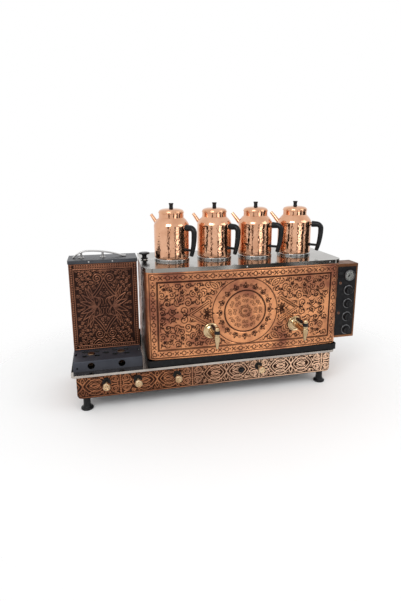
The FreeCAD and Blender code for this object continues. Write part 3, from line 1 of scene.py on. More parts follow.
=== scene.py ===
# %% [markdown]
# # A copper tea stove, dressed over its construction
# The stove is a steel box of water clad in embossed copper, with four hammered teapots on top.
# The construction comes in first and stays where it is. Every finished piece below is worked
# out from its boxes, so that a changed size carries through to the finished surface.

# %% Load the construction
import json
import math

import bmesh
import bpy
import numpy as np
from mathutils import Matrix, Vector

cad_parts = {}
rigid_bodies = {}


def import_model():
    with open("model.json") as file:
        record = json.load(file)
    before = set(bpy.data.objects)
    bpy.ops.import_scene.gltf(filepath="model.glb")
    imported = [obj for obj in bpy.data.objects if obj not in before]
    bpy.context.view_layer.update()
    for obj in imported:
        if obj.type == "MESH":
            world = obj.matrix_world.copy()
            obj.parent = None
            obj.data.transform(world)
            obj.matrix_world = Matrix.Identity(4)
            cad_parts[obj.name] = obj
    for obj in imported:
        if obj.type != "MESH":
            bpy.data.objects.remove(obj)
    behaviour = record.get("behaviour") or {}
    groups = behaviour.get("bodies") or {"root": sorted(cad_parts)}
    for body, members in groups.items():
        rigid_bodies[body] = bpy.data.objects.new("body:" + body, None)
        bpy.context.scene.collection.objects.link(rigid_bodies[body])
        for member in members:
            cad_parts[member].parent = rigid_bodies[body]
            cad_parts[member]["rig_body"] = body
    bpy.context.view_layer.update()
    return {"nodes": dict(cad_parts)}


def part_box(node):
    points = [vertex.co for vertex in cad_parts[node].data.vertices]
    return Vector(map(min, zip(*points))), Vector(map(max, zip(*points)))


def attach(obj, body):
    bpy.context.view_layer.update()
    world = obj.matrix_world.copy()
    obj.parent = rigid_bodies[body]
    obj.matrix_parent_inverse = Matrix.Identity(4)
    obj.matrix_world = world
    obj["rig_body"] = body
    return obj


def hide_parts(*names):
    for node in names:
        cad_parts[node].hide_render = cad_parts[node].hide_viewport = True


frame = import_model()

nodes = frame["nodes"]
body_of_node = {name: item["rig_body"] for name, item in nodes.items()}
print("construction:", len(nodes), "pieces")

# %% [markdown]
# ## Landmarks
# A piece is drawn in millimetres and placed by the box of the construction piece that it
# dresses. Three small functions read a box's lowest corner, highest corner and middle.

# %% Landmarks
MM = 0.001


def low(node):
    return np.array(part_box(node)[0]) / MM


def high(node):
    return np.array(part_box(node)[1]) / MM


def middle(node):
    return (low(node) + high(node)) / 2


# %% [markdown]
# ## From arrays to meshes
# A surface is a grid of points. Its faces join each point to its neighbours, and wrap round
# where the surface closes on itself. One function turns such arrays into a mesh: it merges the
# points of a pole or a seam, turns every face outward, and keeps edges over an angle crisp.

# %% Mesh builders
CRISP = math.radians(38)


def grid_faces(rows, columns, wrap_rows=False, wrap_columns=False):
    """Faces of a grid whose point (i, j) has the number i * columns + j."""
    i, j = np.meshgrid(
        np.arange(rows if wrap_rows else rows - 1),
        np.arange(columns if wrap_columns else columns - 1),
        indexing="ij",
    )
    i, j = i.ravel(), j.ravel()
    next_i, next_j = (i + 1) % rows, (j + 1) % columns
    corners = [i * columns + j, next_i * columns + j, next_i * columns + next_j, i * columns + next_j]
    return np.stack(corners, axis=1)


def make_piece(name, points, faces, merge=True):
    """A mesh object from points in millimetres; merging closes its poles and seams."""
    mesh = bpy.data.meshes.new(name)
    rows = [face.tolist() for face in faces]
    mesh.from_pydata((np.asarray(points) * MM).tolist(), [], sum(rows, []))
    work = bmesh.new()
    work.from_mesh(mesh)
    if merge:
        bmesh.ops.remove_doubles(work, verts=work.verts, dist=2e-6)
        bmesh.ops.dissolve_degenerate(work, edges=work.edges, dist=1e-7)
    bmesh.ops.recalc_face_normals(work, faces=work.faces)
    work.to_mesh(mesh)
    work.free()
    mesh.shade_smooth()
    mesh.set_sharp_from_angle(angle=CRISP)
    item = bpy.data.objects.new(name, mesh)
    bpy.context.scene.collection.objects.link(item)
    return item


def dress(item, node, material):
    """Put a finished piece in place of a construction node, on that node's body."""
    item.data.materials.clear()
    item.data.materials.append(material)
    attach(item, body_of_node[node])
    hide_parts(node)
    return item


FORWARD = np.array([[1, 0, 0], [0, 0, -1], [0, 1, 0]], float)
SIDEWAYS = np.array([[0, 0, 1], [0, 1, 0], [-1, 0, 0]], float)
UPRIGHT = np.eye(3)

# %% [markdown]
# ## Turned and bent pieces
# Most fittings are turned on a lathe or bent from rod. A turned piece is a profile of radius
# and height swept round an axis; its corners are first eased with a short curve, because a real
# edge always catches a line of light. A bent piece is a ring carried along a flat path.

# %% Turned and bent pieces
def eased(profile, reach, steps=4):
    """Round each inner corner: a quadratic curve leaves and meets the sides at the reach."""
    points = np.asarray(profile, float)
    here, back, ahead = points[1:-1], points[:-2], points[2:]
    to_back, to_ahead = back - here, ahead - here
    near = np.linalg.norm(to_back, axis=1, keepdims=True)
    far = np.linalg.norm(to_ahead, axis=1, keepdims=True)
    start = here + to_back * np.minimum(reach / near, 0.45)
    end = here + to_ahead * np.minimum(reach / far, 0.45)
    t = np.linspace(0, 1, steps + 1)[None, :, None]
    curve = start[:, None] * (1 - t) ** 2 + 2 * here[:, None] * t * (1 - t) + end[:, None] * t**2
    return np.concatenate([points[:1], curve.reshape(-1, 2), points[-1:]])


def turned_points(profile, centre, turn=UPRIGHT, steps=72, ripple=None):
    """Sweep (radius, height) round the height axis, then turn it and move it to the centre."""
    profile = np.asarray(profile, float)
    angle = np.linspace(0, 2 * np.pi, steps, endpoint=False)
    radius, height = profile[:, 0][:, None], profile[:, 1][:, None]
    radius = radius + (0 if ripple is None else ripple(radius, height, angle[None, :]))
    points = np.stack([radius * np.cos(angle), radius * np.sin(angle), height + 0 * angle], axis=2)
    return points.reshape(-1, 3) @ turn.T + np.asarray(centre, float), len(profile), steps


def turned(name, profile, centre, turn=UPRIGHT, steps=72, ripple=None, closed=False):
    points, rows, columns = turned_points(profile, centre, turn, steps, ripple)
    return make_piece(name, points, [grid_faces(rows, columns, wrap_rows=closed, wrap_columns=True)])


def joined(name, items):
    """Several meshes made one piece."""
    bpy.ops.object.select_all(action="DESELECT")
    for item in items:
        item.select_set(True)
    bpy.context.view_layer.objects.active = items[0]
    bpy.ops.object.join()
    items[0].name = name
    items[0].data.name = name
    return items[0]


def tube(name, path, radii, flat_normal, steps=28, squeeze=1.0):
    """Carry a ring along a flat path; radii that end in 0 close the two ends."""
    path = np.asarray(path, float)
    along = np.gradient(path, axis=0)
    along /= np.linalg.norm(along, axis=1, keepdims=True)
    across = np.broadcast_to(np.asarray(flat_normal, float), path.shape)
    upward = np.cross(along, across)
    angle = np.linspace(0, 2 * np.pi, steps, endpoint=False)
    reach = np.broadcast_to(np.asarray(radii, float), (len(path),))[:, None, None]
    ring = across[:, None] * np.cos(angle)[None, :, None] * squeeze
    ring = ring + upward[:, None] * np.sin(angle)[None, :, None]
    points = path[:, None] + ring * reach
    return make_piece(name, points.reshape(-1, 3), [grid_faces(len(path), steps, wrap_columns=True)])


def arc_points(x, y, radius, start, end, steps=16):
    """Points on a circle between two angles in degrees."""
    angle = np.radians(np.linspace(start, end, steps))
    return np.stack([x + radius * np.cos(angle), y + radius * np.sin(angle)], axis=1)


# %% [markdown]
# ## Softened sheet metal
# Folded sheet has a small radius at every bend. Where a construction piece already has the
# right shape, a copy of it is merged, its flat faces are joined, and a narrow bevel is laid on
# every edge. That is quicker than drawing the sheet again, and it keeps every hole.

# %% Softened copies
def softened(node, width, material, segments=2):
    mesh = nodes[node].data.copy()
    work = bmesh.new()
    work.from_mesh(mesh)
    bmesh.ops.remove_doubles(work, verts=work.verts, dist=2e-6)
    bmesh.ops.dissolve_limit(work, angle_limit=math.radians(1.0), verts=work.verts, edges=work.edges)
    work.to_mesh(mesh)
    work.free()
    mesh.shade_smooth()
    mesh.set_sharp_from_angle(angle=CRISP)
    item = bpy.data.objects.new(node + "_finished", mesh)
    bpy.context.scene.collection.objects.link(item)
    if width > 0:
        bevel = item.modifiers.new("eased edges", "BEVEL")
        bevel.width = width * MM
        bevel.segments = segments
        bevel.limit_method = "ANGLE"
        bevel.angle_limit = CRISP
        bevel.use_clamp_overlap = True
        bevel.harden_normals = True
    return dress(item, node, material)


# %% [markdown]
# ## Shader groups
# Four effects turn up in several finishes: cloudy patina, brushed grain, hammer marks and
# fine dust. Each is a node group on Object coordinates, so that it sits still on its piece.
# A group gives out only masks and heights; the shader itself stays in the material.

# %% Shader groups
def add(tree, kind, inputs=(), **settings):
    """A shader node with its settings; an input takes a value or another node's output."""
    node = tree.nodes.new("ShaderNode" + kind)
    for label, value in settings.items():
        setattr(node, label, value)
    for label, value in dict(inputs).items():
        if isinstance(value, bpy.types.NodeSocket):
            tree.links.new(value, node.inputs[label])
        else:
            node.inputs[label].default_value = value
    return node


def ramp(tree, source, start, end, low_out=0.0, high_out=1.0):
    """A smooth rise from one value to another while the source goes from start to end."""
    limits = {"From Min": start, "From Max": end, "To Min": low_out, "To Max": high_out}
    node = add(tree, "MapRange", {"Value": source, **limits}, interpolation_type="SMOOTHSTEP")
    return node.outputs["Result"]


def patina_nodes(tree, given, where):
    """Broad clouds, with finer ones over them at a third of their strength."""
    finer = add(tree, "Math", {0: given["Scale"], 1: 5.3}, operation="MULTIPLY").outputs[0]
    broad, fine = [add(tree, "TexNoise", {"Vector": where, "Scale": scale, "Detail": given["Detail"]})
                   for scale in (given["Scale"], finer)]
    parts = {0: fine.outputs["Fac"], 1: 0.3, 2: broad.outputs["Fac"]}
    both = add(tree, "Math", parts, operation="MULTIPLY_ADD")
    return ramp(tree, both.outputs[0], 0.48, 0.86)


def grain_nodes(tree, given, where):
    """Noise drawn out along one axis, as a brush leaves it."""
    drawn = add(tree, "Mapping", {"Vector": where, "Scale": given["Stretch"]}).outputs["Vector"]
    return add(tree, "TexNoise", {"Vector": drawn, "Scale": 1.0, "Detail": 3.0}).outputs["Fac"]


def hammer_nodes(tree, given, where):
    """Rounded cells, one for each blow."""
    cells = add(tree, "TexVoronoi", {"Vector": where, "Scale": given["Scale"]}, feature="SMOOTH_F1")
    return cells.outputs["Distance"]


def dust_nodes(tree, given, where):
    """The peaks of a fine noise, as strong as the amount asked for."""
    noise = add(tree, "TexNoise", {"Vector": where, "Scale": given["Scale"], "Detail": 6.0})
    peaks = ramp(tree, noise.outputs["Fac"], 0.45, 0.75)
    return add(tree, "Math", {0: peaks, 1: given["Amount"]}, operation="MULTIPLY").outputs[0]


def group(name, build, output, **inputs):
    """A node group with one output, which build makes from the inputs and Object coordinates."""
    tree = bpy.data.node_groups.new(name, "ShaderNodeTree")
    for label, value in inputs.items():
        kind = "NodeSocketVector" if isinstance(value, tuple) else "NodeSocketFloat"
        tree.interface.new_socket(name=label, in_out="INPUT", socket_type=kind).default_value = value
    tree.interface.new_socket(name=output, in_out="OUTPUT", socket_type="NodeSocketFloat")
    given, result = tree.nodes.new("NodeGroupInput"), tree.nodes.new("NodeGroupOutput")
    where = add(tree, "TexCoord").outputs["Object"]
    tree.links.new(build(tree, given.outputs, where), result.inputs[output])
    return tree


PATINA = group("cloudy patina", patina_nodes, "Mask", Scale=9.0, Detail=4.0)
GRAIN = group("brushed grain", grain_nodes, "Height", Stretch=(6.0, 400.0, 400.0))
HAMMER = group("hammer marks", hammer_nodes, "Height", Scale=90.0)
DUST = group("fine dust", dust_nodes, "Mask", Scale=60.0, Amount=0.3)


class Finish:
    """A material under construction: its shader and a few ways of feeding it."""

    def __init__(self, name, color, metallic, roughness, coat=0.0):
        self.material = bpy.data.materials.new(name)
        self.material.use_nodes = True
        self.tree = self.material.node_tree
        self.shader = self.tree.nodes["Principled BSDF"]
        for label, value in (("Base Color", (*color, 1)), ("Metallic", metallic),
                             ("Roughness", roughness), ("Coat Weight", coat)):
            self.shader.inputs[label].default_value = value
        self.color = add(self.tree, "RGB").outputs[0]
        self.color.default_value = (*color, 1)
        self.normal = None

    def use(self, tree, **values):
        return add(self.tree, "Group", values, node_tree=tree).outputs[0]

    def attribute(self, name):
        return add(self.tree, "Attribute", attribute_name=name).outputs["Fac"]

    def along(self, axis, start, end):
        """A mask that rises from 0 to 1 between two places along an axis, in millimetres."""
        split = add(self.tree, "SeparateXYZ", {0: add(self.tree, "TexCoord").outputs["Object"]})
        return ramp(self.tree, split.outputs[axis], start * MM, end * MM)

    def times(self, first, second):
        return add(self.tree, "Math", {0: first, 1: second}, operation="MULTIPLY").outputs[0]

    def tint(self, mask, color):
        inputs = {"Factor": mask, "A": self.color, "B": (*color, 1)}
        self.color = add(self.tree, "Mix", inputs, data_type="RGBA").outputs["Result"]

    def roughen(self, mask, smooth, rough):
        roughness = ramp(self.tree, mask, 0, 1, smooth, rough)
        self.tree.links.new(roughness, self.shader.inputs["Roughness"])

    def bump(self, height, distance, strength=1.0):
        inputs = {"Height": height, "Distance": distance * MM, "Strength": strength}
        if self.normal is not None:
            inputs["Normal"] = self.normal
        self.normal = add(self.tree, "Bump", inputs).outputs["Normal"]

    def done(self):
        self.tree.links.new(self.color, self.shader.inputs["Base Color"])
        if self.normal is not None:
            self.tree.links.new(self.normal, self.shader.inputs["Normal"])
        return self.material


print("shader groups:", ", ".join(tree.name for tree in (PATINA, GRAIN, HAMMER, DUST)))

# %% [markdown]
# ## The finishes
# Copper is the main one: bright where it is rubbed, brown where it has clouded, nearly black in
# the grooves, where the polish never reaches and painted shade deepens the recesses. The base is
# painted lighter towards its right, as painted light. The grooves come to the shader as an
# attribute that the relief writes on its points. Steel is a grey metal with a brushed grain; the
# black pieces are moulded plastic or enamel with a little dust, so that they never look flat.

# %% Finishes
def engraved_copper(name, bright, cloudy, groove, roughness, lit_band=None):
    """Bright copper, clouded, dark in its grooves; lit_band is a band along X painted brighter, as painted
    light.
    """
    made = Finish(name, bright, 1.0, roughness[0])
    cloud = made.use(PATINA, Scale=7.0, Detail=5.0)
    made.tint(cloud, cloudy)
    # painted light: the copper is tinted brighter along the band, as if lit more from the right
    if lit_band is not None:
        start, end, lit_tint = lit_band
        made.tint(made.along(0, start, end), lit_tint)
    # tarnish and painted shade: the grooves are tinted nearly black, darkest where the relief is deepest
    made.tint(made.attribute("groove"), groove)
    made.roughen(cloud, *roughness)
    made.bump(made.use(HAMMER, Scale=260.0), 0.25, 0.35)
    return made.done()


def steel(name, color, roughness, stretch, stain=None, strength=0.25, metallic=1.0):
    """Brushed steel; dull painted or oiled sheet is less metallic and less shiny."""
    made = Finish(name, color, metallic, roughness)
    made.shader.inputs["Specular IOR Level"].default_value = 0.2 if metallic < 1 else 0.5
    grain = made.use(GRAIN, Stretch=stretch)
    made.roughen(grain, roughness * 0.7, roughness * 1.5)
    if stain is not None:
        made.tint(made.use(PATINA, Scale=5.0, Detail=5.0), stain)
    made.bump(grain, 0.05, strength)
    return made.done()


def black(name, color, roughness, coat=0.0, grain=900.0):
    made = Finish(name, color, 0.0, roughness, coat)
    made.shader.inputs["Specular IOR Level"].default_value = 0.16
    made.tint(made.use(DUST, Scale=70.0, Amount=0.05), (0.16, 0.15, 0.14))
    made.roughen(made.use(DUST, Scale=25.0, Amount=1.0), roughness * 0.8, roughness * 1.4)
    made.bump(made.use(HAMMER, Scale=grain), 0.03, 0.3)
    return made.done()


def polished(name, color, shade, roughness, hammer=None, depth=0.5):
    made = Finish(name, color, 1.0, roughness)
    made.tint(made.use(PATINA, Scale=14.0, Detail=4.0), shade)
    made.roughen(made.use(PATINA, Scale=22.0, Detail=5.0), roughness * 0.8, roughness * 1.8)
    if hammer is not None:
        made.bump(made.use(HAMMER, Scale=hammer), depth, 0.5)
    return made.done()


ACROSS_X, ACROSS_Y = (6.0, 500.0, 500.0), (500.0, 6.0, 500.0)
tank_copper = engraved_copper("tank copper", (0.76, 0.335, 0.155), (0.27, 0.10, 0.06),
                              (0.034, 0.014, 0.010), (0.24, 0.42))
column_copper = engraved_copper("column copper", (0.27, 0.115, 0.066), (0.15, 0.066, 0.044),
                                (0.028, 0.014, 0.011), (0.34, 0.5))
# The base copper is painted lighter from x -260 to 300 mm, as painted light falling from the right.
base_copper = engraved_copper("base copper", (0.47, 0.195, 0.092), (0.24, 0.095, 0.052),
                              (0.034, 0.015, 0.010), (0.36, 0.55), (-260, 300, (0.98, 0.66, 0.46)))
control_copper = engraved_copper("control copper", (0.25, 0.11, 0.05), (0.12, 0.055, 0.03),
                                 (0.012, 0.006, 0.005), (0.34, 0.5))
pot_copper = polished("pot copper", (0.76, 0.43, 0.275), (0.62, 0.32, 0.19), 0.10, 120.0, 0.6)
lid_copper = polished("lid copper", (0.76, 0.44, 0.28), (0.64, 0.34, 0.20), 0.11)
tap_brass = polished("tap brass", (0.60, 0.45, 0.27), (0.40, 0.27, 0.14), 0.16)
knob_brass = polished("knob brass", (0.72, 0.56, 0.37), (0.45, 0.30, 0.16), 0.18)
bright_steel = polished("bright steel", (0.50, 0.49, 0.48), (0.36, 0.35, 0.34), 0.14)
shelf_steel = steel("shelf steel", (0.060, 0.064, 0.078), 0.42, ACROSS_X, (0.036, 0.039, 0.050), 0.25, 0.35)
dial_steel = steel("dial steel", (0.16, 0.16, 0.165), 0.3, ACROSS_X)
cap_steel = steel("column top steel", (0.085, 0.087, 0.095), 0.36, ACROSS_X, (0.05, 0.052, 0.06))
vessel_steel = steel("vessel steel", (0.45, 0.45, 0.45), 0.25, ACROSS_Y)
black_paint = black("black paint", (0.006, 0.006, 0.007), 0.4)
black_plastic = black("black plastic", (0.007, 0.007, 0.008), 0.3, coat=0.05)
black_matte = black("black trim", (0.008, 0.008, 0.008), 0.5)
chassis_paint = black("chassis paint", (0.03, 0.03, 0.034), 0.5)
dial_card = black("dial card", (0.30, 0.29, 0.27), 0.5)
burner_iron = polished("burner metal", (0.20, 0.13, 0.08), (0.09, 0.07, 0.06), 0.4)


def shelf_shaded_steel():
    """Brushed steel, painted nearly black as painted shade below the coffee shelf and to the left of it."""
    made = Finish("deck steel", (0.50, 0.46, 0.42), 1.0, 0.2)
    grain = made.use(GRAIN, Stretch=ACROSS_X)
    made.tint(made.use(PATINA, Scale=5.0, Detail=5.0), (0.36, 0.32, 0.29))
    right, front = high("coffee_shelf")[0], low("coffee_shelf")[1]
    painted_shade_under_shelf = made.times(made.along(0, right - 2, right - 6), made.along(1, front + 2, front + 6))
    # painted shade: the deck under the shelf and left of it is tinted nearly black and made rougher
    made.tint(painted_shade_under_shelf, (0.02, 0.019, 0.018))
    made.roughen(painted_shade_under_shelf, 0.2, 0.75)
    made.bump(grain, 0.05, 0.25)
    return made.done()


def rim_reflection_steel():
    """Brushed steel whose front rim is pale in its left half and painted nearly black in its right, as a
    painted reflection.
    """
    made = Finish("tank top steel", (0.37, 0.355, 0.33), 1.0, 0.13)
    grain = made.use(GRAIN, Stretch=ACROSS_X)
    made.tint(made.use(PATINA, Scale=5.0, Detail=5.0), (0.27, 0.255, 0.235))
    front, middle_x = low("tank_top")[1], middle("tank_top")[0]
    rim = made.times(made.along(1, front + 4, front + 1), made.along(0, middle_x - 90, middle_x - 30))
    # painted reflection: the right half of the front rim is tinted nearly black
    made.tint(rim, (0.035, 0.031, 0.027))
    made.roughen(grain, 0.09, 0.2)
    made.bump(grain, 0.05, 0.2)
    return made.done()


top_steel = rim_reflection_steel()
deck_steel = shelf_shaded_steel()
print("finishes made")

# %% [markdown]
# ## The engraver's tool
# The copper is chased: a blunt tool is driven along a drawn line and leaves a groove. Here a
# drawing is a set of points on a flat plan of the sheet, spaced closer than the tool is wide.
# The tool is pressed at every point at once into an array of depths, which then moves the
# surface inward and tells the finish where the dark grooves are.

# %% The engraver's tool
SPACING = 0.9


def stroke(x, y):
    """Resample a curve, given by arrays x and y, to points at the tool's spacing."""
    length = np.concatenate([[0], np.cumsum(np.hypot(np.diff(x), np.diff(y)))])
    where = np.linspace(0, length[-1], max(2, int(length[-1] / SPACING) + 1))
    return np.stack([np.interp(where, length, x), np.interp(where, length, y)], axis=1)


def line(x0, y0, x1, y1):
    return stroke(np.array([x0, x1], float), np.array([y0, y1], float))


def ring(x, y, radius):
    angle = np.linspace(0, 2 * np.pi, 90)
    return stroke(x + radius * np.cos(angle), y + radius * np.sin(angle))


def frame_lines(x0, y0, x1, y1):
    return np.concatenate([line(x0, y0, x1, y0), line(x1, y0, x1, y1), line(x1, y1, x0, y1),
                           line(x0, y1, x0, y0)])


def curl(x, y, radius, start, turns, hand=1):
    """A spiral that leaves at the start angle in degrees and winds in to its eye."""
    t = np.linspace(0, 1, 120)
    angle = math.radians(start) + hand * 2 * np.pi * turns * t
    reach = radius * (1 - 0.86 * t)
    return stroke(x + reach * np.cos(angle), y + reach * np.sin(angle))


def leaf(x, y, length, width, angle):
    """A pointed leaf from its stalk: two sine arcs with a vein along the middle."""
    t = np.linspace(0, 1, 40)
    out = np.concatenate([t, t[::-1]])
    side = width / 2 * np.concatenate([np.sin(np.pi * t**0.8), -np.sin(np.pi * t[::-1] ** 0.8)])
    c, s = math.cos(math.radians(angle)), math.sin(math.radians(angle))
    return stroke(x + out * length * c - side * s, y + out * length * s + side * c)


def fan(x, y, length, width, angle, count, spread):
    """Leaves spread about one stalk, the middle one longest."""
    turns = np.linspace(-spread, spread, count)
    sizes = length * (1 - 0.3 * np.abs(turns) / max(spread, 1))
    return np.concatenate([leaf(x, y, size, width, angle + turn) for size, turn in zip(sizes, turns)])


def bow(x0, y0, x1, y1, rise):
    """A curved branch between two places, bowed to the left by its rise."""
    t = np.linspace(0, 1, 60)
    dx, dy = x1 - x0, y1 - y0
    off = rise * np.sin(np.pi * t) / math.hypot(dx, dy)
    return stroke(x0 + dx * t - dy * off, y0 + dy * t + dx * off)


def mandorla(x, y, width, height):
    """A pointed oval lying on its side: two arcs that cross at its ends."""
    t = np.linspace(-1, 1, 60)
    edge = height / 2 * np.cos(t * np.pi / 2) ** 0.8
    across = x + t * width / 2
    return stroke(np.concatenate([across, across[::-1]]), y + np.concatenate([edge, -edge[::-1]]))


def mirrored(points, x=None, y=None):
    """Add the mirror image about an upright line at x, or a level one at y, or both."""
    if x is not None:
        points = np.concatenate([points, points * [-1, 1] + [2 * x, 0]])
    if y is not None:
        points = np.concatenate([points, points * [1, -1] + [0, 2 * y]])
    return points


def repeated(points, x, y, count):
    """Copies of a drawing turned evenly about a centre."""
    angle = np.arange(count) * 2 * np.pi / count
    c, s = np.cos(angle)[:, None], np.sin(angle)[:, None]
    dx, dy = points[:, 0] - x, points[:, 1] - y
    return np.stack([x + c * dx - s * dy, y + s * dx + c * dy], axis=2).reshape(-1, 2)


def press(plan, step, points, width, strength=1.0):
    """Drive a round tool along the points into the plan, and keep the deeper mark."""
    reach = int(math.ceil(width / 2 / step)) + 1
    offset = np.arange(-reach, reach + 1)
    base = np.round(points / step).astype(int)
    i = base[:, 0, None, None] + offset[None, :, None] + 0 * offset[None, None, :]
    j = base[:, 1, None, None] + offset[None, None, :] + 0 * offset[None, :, None]
    away = np.hypot(i * step - points[:, 0, None, None], j * step - points[:, 1, None, None])
    mark = strength * np.clip(1.6 * (1 - away / (width / 2)), 0, 1)
    inside = (i >= 0) & (j >= 0) & (i < plan.shape[0]) & (j < plan.shape[1])
    np.maximum.at(plan, (i[inside], j[inside]), mark[inside])


def pressed(shape, step, points, width, strength=1.0):
    plan = np.zeros(shape)
    press(plan, step, points, width, strength)
    return plan


def raised(shape, step, main, filling, line_width, fill_width):
    """Sunk ground with the lines standing up from it; the filling keeps clear of the main lines."""
    clear = pressed(shape, step, main, line_width * 2.6) < 0.2
    filled = pressed(shape, step, filling, fill_width) * clear
    return 1 - np.maximum(pressed(shape, step, main, line_width), filled)


def scrollwork(x0, y0, x1, y1, pitch, size):
    """Curls on a staggered lattice, wound by turns left and right, with a leaf and a bud between."""
    marks = []
    for row, y in enumerate(np.arange(y0 + pitch / 2, y1, pitch * 0.86)):
        for column, x in enumerate(np.arange(x0 + pitch / 2 * (1 + row % 2), x1, pitch)):
            hand = 1 if (row + column) % 2 else -1
            turn = 47.0 * row + 71.0 * column
            marks += [curl(x, y, size, turn, 1.5, hand),
                      leaf(x + size * 0.9, y + size * 0.3, size * 1.25, size * 0.5, turn + 20 * hand),
                      bow(x - size * 0.6, y - size * 0.9, x + size * 0.9, y - size * 0.8,
                          -hand * size * 0.45),
                      ring(x + pitch * 0.5, y + pitch * 0.05, size * 0.14)]
    return np.concatenate(marks)


# %% [markdown]
# ## Embossed sheets
# A sheet is its path in plan, carried upward. The grooved face has a point for every cell of
# the engraver's plan and is pushed inward by the depth there. The plain back needs only its two
# edges. Together they are one closed piece, so the sheet has a thickness from every side.

# %% Embossed sheets
def plan_path(points):
    """Outward normals of a path in plan that has the sheet's outside at its right hand."""
    along = np.gradient(points, axis=0)
    along /= np.linalg.norm(along, axis=1, keepdims=True)
    return np.stack([along[:, 1], -along[:, 0]], axis=1)


def mark_grooves(item, depths):
    """Write the groove depth of each point of the face; the points that follow are plain."""
    values = np.zeros(len(item.data.vertices), np.float32)
    values[:depths.size] = depths.ravel()
    item.data.attributes.new("groove", "FLOAT", "POINT").data.foreach_set("value", values)
    print(item.name, "points", len(values))
    return item


def embossed(name, path, normals, heights, grooves, depth, gauge, wrap=False):
    """The sheet's face is path - normal * depth * groove at each height; its back lies a gauge in."""
    count, rows = len(path), len(heights)
    face_xy = path[:, None] - normals[:, None] * (depth * grooves)[:, :, None]
    face = np.concatenate([face_xy, np.broadcast_to(heights[None, :, None], (count, rows, 1))], axis=2)
    back_xy = np.repeat((path - normals * gauge)[:, None], 2, axis=1)
    ends = np.broadcast_to(np.array([heights[0], heights[-1]])[None, :, None], (count, 2, 1))
    back = np.concatenate([back_xy, ends], axis=2)
    points = np.concatenate([face.reshape(-1, 3), back.reshape(-1, 3)])
    first = count * rows
    i = np.arange(count if wrap else count - 1)
    following = (i + 1) % count
    face_low, face_high = i * rows, i * rows + rows - 1
    next_low, next_high = following * rows, following * rows + rows - 1
    back_low, back_high = first + i * 2, first + i * 2 + 1
    next_back_low, next_back_high = first + following * 2, first + following * 2 + 1
    faces = [
        grid_faces(count, rows, wrap_rows=wrap),
        np.stack([back_low, back_high, next_back_high, next_back_low], axis=1),
        np.stack([face_low, back_low, next_back_low, next_low], axis=1),
        np.stack([face_high, next_high, next_back_high, back_high], axis=1),
    ]
    if not wrap:
        last = count - 1
        column = np.arange(rows)
        faces.append(np.concatenate([column, [first + 1, first]])[None])
        faces.append(np.concatenate([last * rows + column, [first + last * 2 + 1, first + last * 2]])[None])
    return mark_grooves(make_piece(name, points, faces, merge=False), grooves)


def even_path(points, step):
    """Resample a path in plan to even steps of about the given length."""
    length = np.concatenate([[0], np.cumsum(np.linalg.norm(np.diff(points, axis=0), axis=1))])
    where = np.linspace(0, length[-1], int(round(length[-1] / step)) + 1)
    return np.stack([np.interp(where, length, points[:, k]) for k in (0, 1)], axis=1), where


# %% [markdown]
# ## The tank
# The front swells gently and turns round two wide corners. Its drawing is a traditional one: a
# round medallion between two pointed fields, filled with curling stems and leaves, inside a
# border of rings and crosses. The two sides carry a plainer field of the same stems.

# %% The tank's outline
tank_low, tank_high = low("tank_cladding"), high("tank_cladding")
TANK_CORNER, CLAD = 40.0, 4.0
tank_mid = (tank_low[0] + tank_high[0]) / 2
half_chord = (tank_high[0] - tank_low[0]) / 2 - TANK_CORNER
TANK_BULGE = 8.0
front_corner_y = tank_low[1] + TANK_BULGE
swell_radius = half_chord**2 / (2 * TANK_BULGE) + TANK_BULGE / 2
t = np.linspace(-1, 1, 400)
front_x = tank_mid + half_chord * t
swell_y = tank_low[1] + swell_radius - np.sqrt(swell_radius**2 - (half_chord * t) ** 2)
left_turn = arc_points(tank_low[0] + TANK_CORNER, front_corner_y + TANK_CORNER, TANK_CORNER, 180, 270, 40)
right_turn = arc_points(tank_high[0] - TANK_CORNER, front_corner_y + TANK_CORNER, TANK_CORNER, 270, 360, 40)
front_line = np.concatenate([left_turn[:-1], np.stack([front_x, swell_y], axis=1), right_turn[1:]])
TANK_STEP = 1.9
front_path, front_u = even_path(front_line, TANK_STEP)
tank_rows = int(round((tank_high[2] - tank_low[2]) / TANK_STEP)) + 1
tank_heights = np.linspace(tank_low[2], tank_high[2], tank_rows)
turn_length = TANK_CORNER * math.pi / 2
print("tank front plan %d by %d" % (len(front_path), tank_rows))

# %% The tank's drawing
RIM = 16.0
plan_width, plan_height = front_u[-1], tank_high[2] - tank_low[2]
medal_x, medal_y = turn_length + half_chord - 15, 185.0
border_left, border_right = 34.0, plan_width - 40.0
border_low, border_high = 7.0, plan_height - RIM - 7.0
BAND = 31.0


def border(x0, y0, x1, y1, band, pitch):
    """Two framing lines with rings, crosses and dots between them."""
    marks = [frame_lines(x0, y0, x1, y1), frame_lines(x0 + band, y0 + band, x1 - band, y1 - band),
             frame_lines(x0 + band + 4, y0 + band + 4, x1 - band - 4, y1 - band - 4)]
    for fixed, start, end, level in ((y0 + band / 2, x0, x1, True), (y1 - band / 2, x0, x1, True),
                                     (x0 + band / 2, y0, y1, False), (x1 - band / 2, y0, y1, False)):
        count = max(2, int(round((end - start - band) / pitch)))
        for k, where in enumerate(np.linspace(start + band / 2, end - band / 2, count + 1)):
            x, y = (where, fixed) if level else (fixed, where)
            marks.append(ring(x, y, band * 0.27))
            gap = pitch / 2
            xx, yy = (x + gap, y) if level else (x, y + gap)
            if (where + gap) < end - band / 2:
                arm = band * 0.24
                marks += [line(xx - arm, yy - arm, xx + arm, yy + arm),
                          line(xx - arm, yy + arm, xx + arm, yy - arm)]
                for share in (0.5, 1.5):
                    dot = (x + gap * share, y) if level else (x, y + gap * share)
                    marks.append(ring(dot[0], dot[1], 1.4))
    return marks


